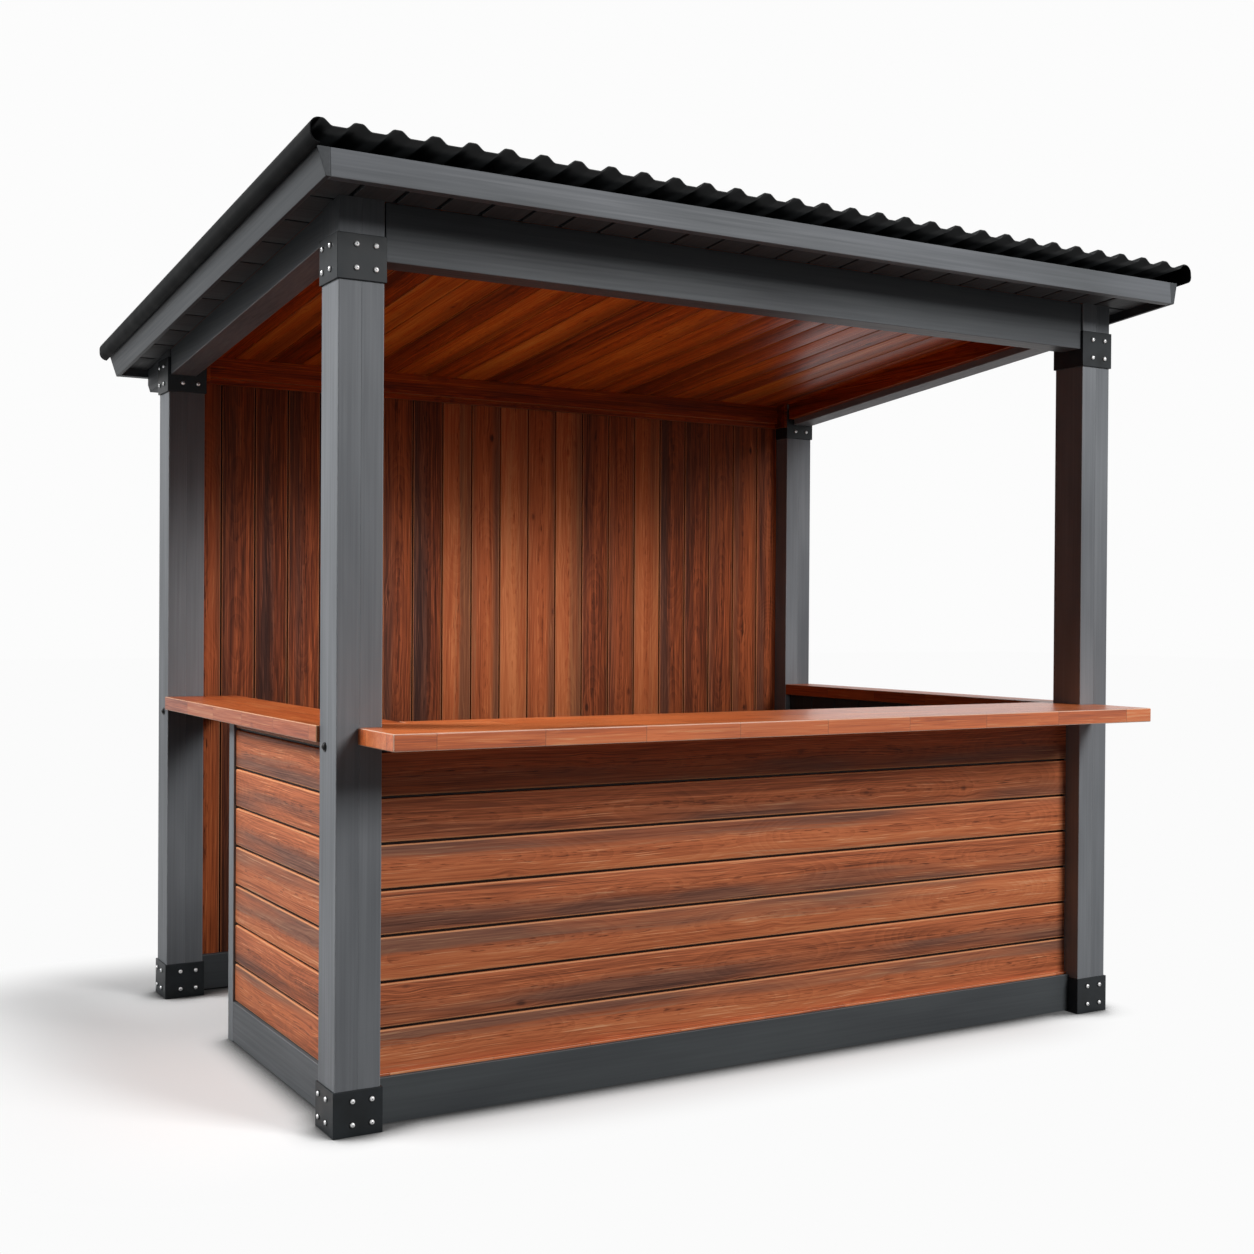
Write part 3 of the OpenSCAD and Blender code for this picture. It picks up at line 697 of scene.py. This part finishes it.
FASTENER_SIZES = ("Head Radius", "Head Height", "Washer Radius", "Washer Height", "Socket Radius")
fasteners = new_tree("fasteners", [
    ("shape", ("Points",)), ("size", FASTENER_SIZES), ("finish", ("Head", "Washer"))], grow_fasteners)


def fixed(spots, sizes, head_finish, washer_finish):
    """Fasteners at each spot, given as a point and the direction it faces."""
    data = bpy.data.meshes.new("spots")
    data.from_pydata([s[0] for s in spots], [], [])
    out = data.attributes.new("out", "FLOAT_VECTOR", "POINT")
    for i, spot in enumerate(spots):
        out.data[i].vector = spot[1]
    values = dict(zip(FASTENER_SIZES, sizes))
    return grown(fasteners, {**values, "Head": head_finish, "Washer": washer_finish}, start=data)


def grow_corrugated(tree):
    """Flat sheet rolled into waves, with crests narrower than the troughs and rounded shoulders."""
    given = add(tree, "NodeGroupInput").outputs
    flat = add(tree, "GeometryNodeMeshGrid", None, {
        "Size X": given["Width"], "Size Y": given["Length"], "Vertices X": given["Across"], "Vertices Y": 5})
    spot = add(tree, "GeometryNodeInputPosition")
    apart = add(tree, APART, None, {0: spot})
    turns = add(tree, MATH, {"operation": "DIVIDE"}, {0: apart.outputs["X"], 1: given["Pitch"]})
    nearest = add(tree, MATH, {"operation": "ROUND"}, {0: turns})
    share = add(tree, MATH, MINUS, {0: turns, 1: nearest})
    offset = add(tree, MATH, TIMES, {0: share, 1: given["Pitch"]})
    from_crest = add(tree, MATH, ABSOLUTE, {0: offset})
    shoulder = add(tree, MATH, TIMES, {0: given["Crest"], 1: SHEET_SHOULDER})
    foot = add(tree, MATH, TIMES_PLUS, {0: given["Crest"], 1: 1 - SHEET_SHOULDER, 2: given["Flank"]})
    wave = add(tree, RANGE, SMOOTH, {"Value": from_crest, "From Min": shoulder, "From Max": foot,
                                     "To Min": given["Height"], "To Max": 0.0})
    rise = add(tree, XYZ, None, {"Z": wave})
    rolled = add(tree, "GeometryNodeSetPosition", None, {"Geometry": flat, "Offset": rise})
    smooth = add(tree, "GeometryNodeSetShadeSmooth", None, {"Geometry": rolled})
    real = add(tree, "GeometryNodeRealizeInstances", None, {0: smooth})
    done = add(tree, COAT, None, {"Geometry": real, "Material": given["Finish"]})
    add(tree, "NodeGroupOutput", None, {0: done})


corrugated = new_tree("corrugated", [
    ("size", ("Width", "Length", "Pitch", "Height", "Crest", "Flank")), ("count", ("Across",)),
    ("finish", ("Finish",))], grow_corrugated)


# Frame

def post(corner):
    """Post of two glued halves, cut to the roof's slope."""
    low, high = posts[corner]
    seam = (low.x + high.x) / 2
    halves = []
    for near, far in ((low.x, seam), (seam, high.x)):
        half = prism(sloped(low.y, high.y, low.z), "X", near, far)
        ease(half, POST_EASE, lambda e: all(abs(v.co.x - seam) > MM for v in e.verts))
        ease(half, SEAM_EASE, lambda e: all(abs(v.co.x - seam) < MM for v in e.verts))
        halves.append(half)
    show(f"{corner}_post_timber", joined(halves, "Z"), [frame_paint], [f"{corner}_post"])


def sleeve(corner, kind):
    """Square steel sleeve round a post, with rounded corners."""
    low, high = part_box(f"{corner}_{kind}")
    mesh = bmesh.new()
    loops = []
    for wall_low, wall_high in ((low, high), posts[corner]):
        for z in (low.z, high.z):
            loops.append([mesh.verts.new((x, y, z)) for x, y in block(wall_low, wall_high)])
    outer_foot, outer_head, inner_foot, inner_head = loops
    for i in range(4):
        j = (i + 1) % 4
        mesh.faces.new((outer_foot[i], outer_foot[j], outer_head[j], outer_head[i]))
        mesh.faces.new((inner_foot[j], inner_foot[i], inner_head[i], inner_head[j]))
        mesh.faces.new((outer_head[i], outer_head[j], inner_head[j], inner_head[i]))
        mesh.faces.new((outer_foot[j], outer_foot[i], inner_foot[i], inner_foot[j]))
    outside = set(outer_foot + outer_head)
    ease(mesh, SLEEVE_EASE, lambda e: all(v in outside for v in e.verts))
    show(f"{corner}_{kind}_plate", joined([mesh], "Z"), [black_steel], [f"{corner}_{kind}"])


for corner in CORNERS:
    post(corner)
    sleeve(corner, "shoe")
    sleeve(corner, "bracket")

# Cross beams in the darker paint, which is painted shade from the eaves
for name in ("front_beam", "back_beam"):
    low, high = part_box(name)
    bar = ease(prism(sloped(low.y, high.y, low.z), "X", low.x, high.x), BEAM_EASE)
    show(f"{name}_timber", joined([bar], "X"), [shaded_beam_paint], [name])

# Side beams between the posts' brackets, with tails behind the back ones
beam_near = front_post[1].y + plate
beam_far = back_post[0].y - plate
tail = back_post[1].y + plate
for name in ("left_beam", "right_beam"):
    low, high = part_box(name)
    end = high.y
    beam_h = deck_z(end - TAIL_BEVEL) - low.z
    stub = [(tail, deck_z(tail) - beam_h), (end - TAIL_BEVEL, deck_z(end - TAIL_BEVEL) - beam_h),
            (end, deck_z(end) - beam_h + TAIL_BEVEL), (end, deck_z(end)), (tail, deck_z(tail))]
    outlines = (hung(beam_near, beam_far, beam_h), stub)
    bars = [ease(prism(outline, "X", low.x, high.x), BEAM_EASE) for outline in outlines]
    show(f"{name}_timber", joined(bars, "Y"), [frame_paint], [name])

shoe_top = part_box("front_left_shoe")[1].z


def plinth(name, axis, notched, finish):
    """Plinth board, lifted a little off the ground and notched round the shoes at its ends."""
    low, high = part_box(name)
    run = 0 if axis == "X" else 1
    near, far = low[run], high[run]
    near_cut = near + (plate if notched[0] else 0)
    far_cut = far - (plate if notched[1] else 0)
    outline = [(near_cut, low.z + PLINTH_LIFT), (far_cut, low.z + PLINTH_LIFT)]
    outline += [(far_cut, shoe_top), (far, shoe_top)] if notched[1] else []
    outline += [(far, high.z), (near, high.z)]
    outline += [(near, shoe_top), (near_cut, shoe_top)] if notched[0] else []
    across = "Y" if axis == "X" else "X"
    bar = ease(prism(outline, across, low[1 - run], high[1 - run]), PLINTH_EASE)
    show(f"{name}_board", joined([bar], axis), [finish], [name])


plinth("front_plinth", "X", (True, True), plinth_paint)
plinth("back_plinth", "X", (True, True), plinth_paint)
plinth("left_plinth", "Y", (True, False), side_plinth_paint)
plinth("right_plinth", "Y", (True, True), side_plinth_paint)

low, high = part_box("doorway_stile")
stile = ease(prism(block(low, high), "Z", low.z, high.z), STILE_EASE)
show("doorway_stile_timber", joined([stile], "Z"), [frame_paint], ["doorway_stile"])


# Counter walls

def clad(name, turn, seed):
    """Level cladding boards on a counter wall, the top one ripped to fit under the counter."""
    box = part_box(name)
    data = row(box, turn, BOARD_PITCH, BOARD_GROOVE, BOARD_EASE, seed, cladding_wood)
    trimmed(data, [(Vector((0, 0, box[1].z)), Z)])
    show(f"{name}_cladding", data, [cladding_wood], [name])


clad("front_boards", (X, Z, -Y), seed=4)
low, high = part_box("front_boards")
starter_outline = block((low.y - STARTER_OUT, low.z), (low.y, low.z + STARTER_H))
starter = ease(prism(starter_outline, "X", low.x, high.x), STARTER_EASE)
show("front_starter_strip", joined([starter], "X"), [counter_wood])
clad("left_boards", (-Y, Z, -X), seed=9)
clad("right_boards", (Y, Z, X), seed=14)

# Upright painted lining boards on the insides of the counter walls
for name, turn, across, seed in (("front_lining", (Z, X, Y), X, 21), ("left_lining", (Z, -Y, X), Y, 22),
                                 ("right_lining", (Z, Y, -X), Y, 23)):
    low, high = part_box(name)
    data = row((low, high), turn, LINING_PITCH, LINING_GROOVE, LINING_EASE, seed, lining_paint)
    trimmed(data, [(low, -across), (high, across)])
    show(f"{name}_panel", data, [lining_paint], [name])

# Back wall of upright boards, the first and last ripped to fit between the posts
low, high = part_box("back_wall")
wall_from = Vector((WALL_FIRST_JOINT - WALL_PITCH, low.y, low.z))
wall = row((wall_from, high), (-Z, X, -Y), WALL_PITCH, WALL_GROOVE, WALL_EASE, seed=31, finish=wall_wood)
show("back_wall_boards", trimmed(wall, [(low, -X), (high, X)]), [wall_wood], ["back_wall"])


# Counter tops

low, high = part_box("front_top")
post_in = posts["front_right"][0].x
left_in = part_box("left_top")[1].x
post_front = front_post[0].y
post_back = front_post[1].y
front_outline = [(low.x, low.y), (high.x, low.y), (high.x, post_front), (post_in, post_front),
                 (post_in, high.y), (left_in, high.y), (left_in, post_back), (-post_in, post_back),
                 (-post_in, post_front), (low.x, post_front)]
slab = ease(prism(front_outline, "Z", low.z, high.z), TOP_EASE, steps=TOP_EASE_STEPS)
show("front_top_worktop", joined([slab], "X"), [counter_wood], ["front_top"])
# Side tops in the darker copy of the worktop wood, as painted shade
for name in ("left_top", "right_top"):
    low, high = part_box(name)
    slab = ease(prism(block(low, high), "Z", low.z, high.z), TOP_EASE, steps=TOP_EASE_STEPS)
    show(f"{name}_worktop", joined([slab], "Y"), [shaded_side_top_wood], [name])


# Roof

# Ceiling boards in the deeper red-brown wood, partly painted shade and painted warm bounce light
deck_low, deck_high = roof_box("ceiling")
ceiling = row((deck_low, deck_high), (Y, X, -Z), CEILING_PITCH, CEILING_GROOVE, CEILING_EASE, seed=41,
              finish=ceiling_shaded_wood, place=roof_frame)
trimmed(ceiling, [(Vector((deck_high.x, 0, 0)), X)])
show("ceiling_deck_boards", ceiling, [ceiling_shaded_wood], ["ceiling"])

eave_low, eave_high = roof_box("front_soffit")
eave_rear = roof_box("back_soffit")[1].y
# Inner and outer end of each mitre, by side and end
mitres = {(side, end): (Vector((side * deck_high.x, inner, 0)), Vector((side * eave_high.x, outer, 0)))
          for end, inner, outer in ((-1, deck_low.y, eave_low.y), (1, deck_high.y, eave_rear))
          for side in (-1, 1)}


def soffit(name, turn, pitch, corners, seed):
    """Painted boards across an eave, mitred at its two corners, in the darker paint that is painted shade."""
    data = row(roof_box(name), turn, pitch, EAVE_GROOVE, EAVE_EASE, seed, soffit_shade_paint, roof_frame)
    kept = sum((mitres[corner][1] for corner in corners), Vector((0, 0, 0))) / 2
    planes = []
    for corner in corners:
        inner, outer = mitres[corner]
        outward = (outer - inner).cross(Z).normalized()
        if outward.dot(kept - inner) > 0:
            outward = -outward
        planes.append((roof_frame @ inner, roof_frame.to_3x3() @ outward))
    show(f"{name}_boards", trimmed(data, planes), [soffit_shade_paint], [name])


soffit("front_soffit", (Y, X, -Z), EAVE_PITCH, ((-1, -1), (1, -1)), seed=51)
soffit("back_soffit", (Y, X, -Z), EAVE_PITCH, ((-1, 1), (1, 1)), seed=52)
soffit("left_soffit", (-X, Y, -Z), SIDE_EAVE_PITCH, ((-1, -1), (-1, 1)), seed=53)
soffit("right_soffit", (X, -Y, -Z), SIDE_EAVE_PITCH, ((1, -1), (1, 1)), seed=54)

# Near-black painted stops that close the ends of the soffits' grooves against the ceiling boards; their black
# is painted shade in the grooves
rim_low = Vector((deck_low.x - EAVE_STOP, deck_low.y - EAVE_STOP, 0))
rim_high = Vector((deck_high.x + EAVE_STOP, deck_high.y + EAVE_STOP, 0))
stops = [prism(block(a, b), "Z", deck_low.z, deck_high.z) for a, b in (
    (rim_low, (rim_high.x, deck_low.y)), ((rim_low.x, deck_high.y), rim_high),
    ((rim_low.x, deck_low.y), (deck_low.x, deck_high.y)),
    ((deck_high.x, deck_low.y), (rim_high.x, deck_high.y)))]
show("soffit_groove_shade_stops", joined(stops, "X", roof_frame), [lining_paint])

# Front and back boards in the darker paint, as painted shade
for name in ("front_fascia", "back_fascia"):
    low, high = roof_box(name)
    bar = ease(prism(block((low.y, low.z), (high.y, high.z)), "X", low.x, high.x), FASCIA_EASE)
    show(f"{name}_board", joined([bar], "X", roof_frame), [fascia_shade_paint], [name])

# Side boards in the darkest paint, as painted shade under the verges
for name in ("left_fascia", "right_fascia"):
    low, high = roof_box(name)
    points = roof_points(name)
    side = -1 if low.x < 0 else 1
    inner = min(abs(p.x) for p in points) * side
    reach = {at: max(abs(p.x) for p in points if abs(p.z - at) < MM) * side for at in (low.z, high.z)}
    canted = [(inner, low.z), (reach[low.z], low.z), (reach[high.z], high.z), (inner, high.z)]
    bar = ease(prism(canted, "Y", low.y, high.y), BARGE_EASE)
    show(f"{name}_board", joined([bar], "Y", roof_frame), [side_board_shade_paint], [name])

# The trims are in the ceiling's deeper red-brown wood, partly painted shade and painted warm bounce light
# Stepped trim in front of the back beam, with a return at each end, and plain trims along the side beams
wall_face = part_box("back_wall")[0].y
back_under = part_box("back_beam")[0].z
trim_end = posts["back_right"][0].x - plate
stepped = [(wall_face - TRIM_LOW_T, back_under), (wall_face, back_under), (wall_face, deck_z(wall_face)),
           (wall_face - TRIM_T, deck_z(wall_face - TRIM_T)), (wall_face - TRIM_T, back_under + TRIM_LOW_H),
           (wall_face - TRIM_LOW_T, back_under + TRIM_LOW_H)]
returned = sloped(beam_far, wall_face, back_under)
trims = [ease(prism(outline, "X", near, far), TRIM_EASE) for outline, near, far in (
    (stepped, -trim_end, trim_end), (returned, trim_end - TRIM_LOW_T, trim_end),
    (returned, -trim_end, TRIM_LOW_T - trim_end))]
show("back_ceiling_trim", joined(trims, "X"), [ceiling_shaded_wood], ["ceiling_trim"])
beam_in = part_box("right_beam")[0].x
trims = [ease(prism(hung(beam_near, beam_far, TRIM_H), "X", near, far), TRIM_EASE)
         for near, far in ((beam_in - TRIM_T, beam_in), (-beam_in, TRIM_T - beam_in))]
show("side_ceiling_trims", joined(trims, "Y"), [ceiling_shaded_wood])

# Corrugated sheet and its rolled verges, the verges in the darker coat that is painted shade
sheet_low, sheet_high = roof_box("roof_sheet")
sheet_size = sheet_high - sheet_low
wave_pitch = (sheet_high.x - sheet_low.x) / SHEET_WAVES
sheet = grown(corrugated, {
    "Width": sheet_size.x, "Length": sheet_size.y, "Pitch": wave_pitch, "Height": sheet_size.z - SHEET_T,
    "Crest": SHEET_CREST, "Flank": SHEET_FLANK, "Across": SHEET_WAVES * SHEET_STEPS + 1,
    "Finish": sheet_coat}, thickness=SHEET_T)
sheet_place = Matrix.Translation((0, (sheet_low.y + sheet_high.y) / 2, sheet_low.z + SHEET_T))
sheet.transform(roof_frame @ sheet_place)
show("corrugated_roof_sheet", sheet, [sheet_coat], ["roof_sheet"])

for name, side in (("left_verge", -1), ("right_verge", 1)):
    low, high = roof_box(name)
    radius = high.x - low.x
    inner = low.x if side > 0 else high.x
    outer_arc = []
    inner_arc = []
    for centre, first in ((high.z - radius, 90), (low.z + radius, 0)):
        for i in range(VERGE_STEPS + 1):
            turn = math.radians(first - 90 * i / VERGE_STEPS)
            for arc, r in ((outer_arc, radius), (inner_arc, radius - SHEET_T)):
                arc.append((inner + side * r * math.cos(turn), centre + r * math.sin(turn)))
    roll = prism(outer_arc + inner_arc[::-1], "Y", low.y, high.y)
    data = joined([roll], "Y", roof_frame)
    data.shade_smooth()
    data.set_sharp_from_angle(angle=VERGE_SHARP)
    show(f"{name}_roll", data, [shaded_verge_coat], [name])

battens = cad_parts["roof_battens"]
battens.data.materials.clear()
battens.data.materials.append(batten_stain)


# Fasteners

# Shares of a sleeve's height and width at which its bolts sit
BOLT_ROWS = (0.26, 0.77)
BOLT_FACES = {"front": (-Y, "x", (0.385, 0.775)), "back": (Y, "x", (0.3, 0.7)),
              "left": (-X, "y", (0.38, 0.81)), "right": (X, "y", (0.38, 0.81))}
RIGHT_FRONT_SHARES = (0.34, 0.75)


def sleeve_spots(corner, kind, faces):
    """Bolt spots on some faces of a sleeve, each given with its number of rows from below."""
    low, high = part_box(f"{corner}_{kind}")
    spots = []
    for face, rows in faces:
        out, run, shares = BOLT_FACES[face]
        if face == "front" and "right" in corner:
            shares = RIGHT_FRONT_SHARES
        for row_share in BOLT_ROWS[:rows]:
            for share in shares:
                spot = Vector((low.x if out.x < 0 else high.x, low.y if out.y < 0 else high.y, 0))
                if run == "x":
                    spot.x = low.x + share * (high.x - low.x)
                else:
                    spot.y = low.y + share * (high.y - low.y)
                spot.z = low.z + row_share * (high.z - low.z)
                spots.append((spot, out))
    return spots


bolt_spots = []
for corner in CORNERS:
    end, side = corner.split("_")
    rear = "back" if end == "front" else "front"
    bolt_spots += sleeve_spots(corner, "bracket", [(side, 2), (rear, 1), (end, 2 if end == "front" else 1)])
    bolt_spots += sleeve_spots(corner, "shoe", [(side, 2), (end, 2)])
bolt_spots += sleeve_spots("back_left", "shoe", [("front", 2)])
# Black washers and sockets round and in the zinc heads: painted shade
bolts = fixed(bolt_spots, SLEEVE_BOLT, bolt_zinc, blackened_steel_and_shade)
show("sleeve_bolts", bolts, [blackened_steel_and_shade, bolt_zinc])

# Dark bolts that hold the left counter's bearer to the posts
bearer_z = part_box("left_top")[0].z - BEARER_DROP
bearer_spots = [(Vector((front_post[0].x, y, bearer_z)), -X)
                for y in (front_post[1].y - BEARER_IN[0], back_post[0].y + BEARER_IN[1])]
bearer = fixed(bearer_spots, BEARER_BOLT, blackened_steel_and_shade, blackened_steel_and_shade)
show("counter_bearer_bolts", bearer, [blackened_steel_and_shade])

# Roofing screws through every third crest, over each batten
batten_rows = sorted({round(p.y, 3) for p in roof_points("roof_battens")})
batten_lines = [(batten_rows[i] + batten_rows[i + 1]) / 2 for i in range(0, len(batten_rows), 2)]
screw_spots = [(roof_frame @ Vector((sheet_low.x + i * wave_pitch, v, sheet_high.z)), roof_frame.to_3x3() @ Z)
               for v in batten_lines for i in range(SCREW_CRESTS, SHEET_WAVES, SCREW_CRESTS)]
screws = fixed(screw_spots, ROOF_SCREW, blackened_steel_and_shade, blackened_steel_and_shade)
show("roofing_screws", screws, [blackened_steel_and_shade])


# Floor, light and camera

def seen_rays(tree):
    """1 on the rays that show the backdrop: the camera's own, and those by reflection or through glass."""
    seen = add(tree, "ShaderNodeLightPath").outputs
    clear = add(tree, MATH, LARGER, {0: seen["Is Camera Ray"], 1: seen["Is Glossy Ray"]})
    return add(tree, MATH, LARGER, {0: clear, 1: seen["Is Transmission Ray"]})


def studio_floor():
    """Pale floor that keeps a soft shadow near the stall and turns to plain white away from it."""
    finish, tree = new_finish("pale_studio_floor")
    at = add(tree, "ShaderNodeTexCoord").outputs["Object"]
    # Distance outside a rectangle under the stall: over 0.6 m of it the floor fades to white
    centred = add(tree, VECTORS, PLUS, {0: at, 1: (0.35, -0.15, 0.0)})
    ahead = add(tree, VECTORS, ABSOLUTE, {0: centred})
    beyond = add(tree, VECTORS, MINUS, {0: ahead, 1: (1.2, 0.75, 0.0)})
    outside = add(tree, VECTORS, LARGER, {0: beyond, 1: (0.0, 0.0, 0.0)})
    away = add(tree, VECTORS, LENGTH, {0: outside})
    fade = add(tree, RANGE, SMOOTH, {"Value": away, "From Min": 0.0, "From Max": 0.6})
    # Contact shade within 11 cm of what stands on the floor
    near = add(tree, "ShaderNodeAmbientOcclusion", {"samples": 8}, {"Distance": 0.11})
    open_share = add(tree, RANGE, None, {"Value": near.outputs["AO"], "From Min": 0.5, "From Max": 0.92})
    lit = add(tree, MIX, RGBA, {0: open_share, 6: linear("#666666"), 7: linear("#fbfbfb")})
    white = add(tree, "ShaderNodeEmission", None, {"Color": lit, "Strength": 1.0})
    pale = add(tree, "ShaderNodeBsdfDiffuse", None, {"Color": lit})
    seen_floor = add(tree, "ShaderNodeMixShader", None, {0: fade, 1: pale, 2: white})
    grey = add(tree, "ShaderNodeBsdfDiffuse", None, {"Color": linear("#4e4e4e")})
    whole = add(tree, "ShaderNodeMixShader", None, {0: seen_rays(tree), 1: grey, 2: seen_floor})
    add(tree, "ShaderNodeOutputMaterial", None, {"Surface": whole})
    data = bpy.data.meshes.new("studio_floor")
    corners = [(x, y, 0) for x, y in block((-FLOOR_REACH, -FLOOR_REACH), (FLOOR_REACH, FLOOR_REACH))]
    data.from_pydata(corners, [], [(0, 1, 2, 3)])
    data.materials.append(finish)
    floor = bpy.data.objects.new("studio_floor", data)
    bpy.context.scene.collection.objects.link(floor)


def studio_world():
    """Soft even light, and white behind the stall."""
    world = bpy.data.worlds.new("studio")
    bpy.context.scene.world = world
    world.use_nodes = True
    tree = world.node_tree
    tree.nodes.clear()
    soft = add(tree, "ShaderNodeBackground", None, {"Color": linear("#f2f5f8"), "Strength": 0.046})
    white = add(tree, "ShaderNodeBackground", None, {"Color": linear("#fcfcfc"), "Strength": 1.0})
    whole = add(tree, "ShaderNodeMixShader", None, {0: seen_rays(tree), 1: soft, 2: white})
    add(tree, "ShaderNodeOutputWorld", None, {"Surface": whole})


def softbox(name, place, aim, width, height, power, spread=180):
    """Studio light that points at aim; a grid in front of it narrows its spread."""
    data = bpy.data.lights.new(name, "AREA")
    data.shape = "RECTANGLE"
    data.size = width
    data.size_y = height
    data.energy = power
    data.spread = math.radians(spread)
    lamp = bpy.data.objects.new(name, data)
    lamp.location = place
    lamp.rotation_euler = (Vector(aim) - Vector(place)).to_track_quat("-Z", "Y").to_euler()
    lamp.visible_camera = False
    bpy.context.scene.collection.objects.link(lamp)


studio_floor()
studio_world()
softbox("left_softbox", (-6.2, 1.7, 6.0), (-1.3, -1.1, 1.4), width=3.0, height=3.0, power=87, spread=60)
softbox("front_softbox", (3.6, -7.7, 5.6), (0, 0, 1.2), width=3.2, height=3.2, power=600)
softbox("inside_softbox", (-0.08, -0.72, 1.3), (-0.08, 0.9, 1.3), width=2.2, height=0.4,
        power=2.25, spread=48)
softbox("ceiling_softbox", (0.1, -0.1, 1.15), (0.1, 0.0, 2.3), width=2.0, height=1.2, power=1.4, spread=90)

CAMERA_AT = Vector((-2.66586, -4.58202, 1.29035))
CAMERA_YAW = math.radians(30.31)
CAMERA_PITCH = math.radians(-0.44)
CAMERA_ROLL = math.radians(0.37)
CAMERA_LENS = 45.47
CAMERA_SENSOR = 36.0

level = Vector((math.sin(CAMERA_YAW), math.cos(CAMERA_YAW), 0))
sideways = Vector((math.cos(CAMERA_YAW), -math.sin(CAMERA_YAW), 0))
ahead = math.cos(CAMERA_PITCH) * level + math.sin(CAMERA_PITCH) * Z
upward = math.cos(CAMERA_PITCH) * Z - math.sin(CAMERA_PITCH) * level
right = math.cos(CAMERA_ROLL) * sideways + math.sin(CAMERA_ROLL) * upward
up = math.cos(CAMERA_ROLL) * upward - math.sin(CAMERA_ROLL) * sideways
camera_data = bpy.data.cameras.new("photo_camera")
camera_data.sensor_width = CAMERA_SENSOR
camera_data.lens = CAMERA_LENS
camera = bpy.data.objects.new("photo_camera", camera_data)
camera.matrix_world = Matrix.Translation(CAMERA_AT) @ Matrix((right, up, -ahead)).transposed().to_4x4()
bpy.context.scene.collection.objects.link(camera)
bpy.context.scene.camera = camera
bpy.context.scene.view_settings.view_transform = "Standard"
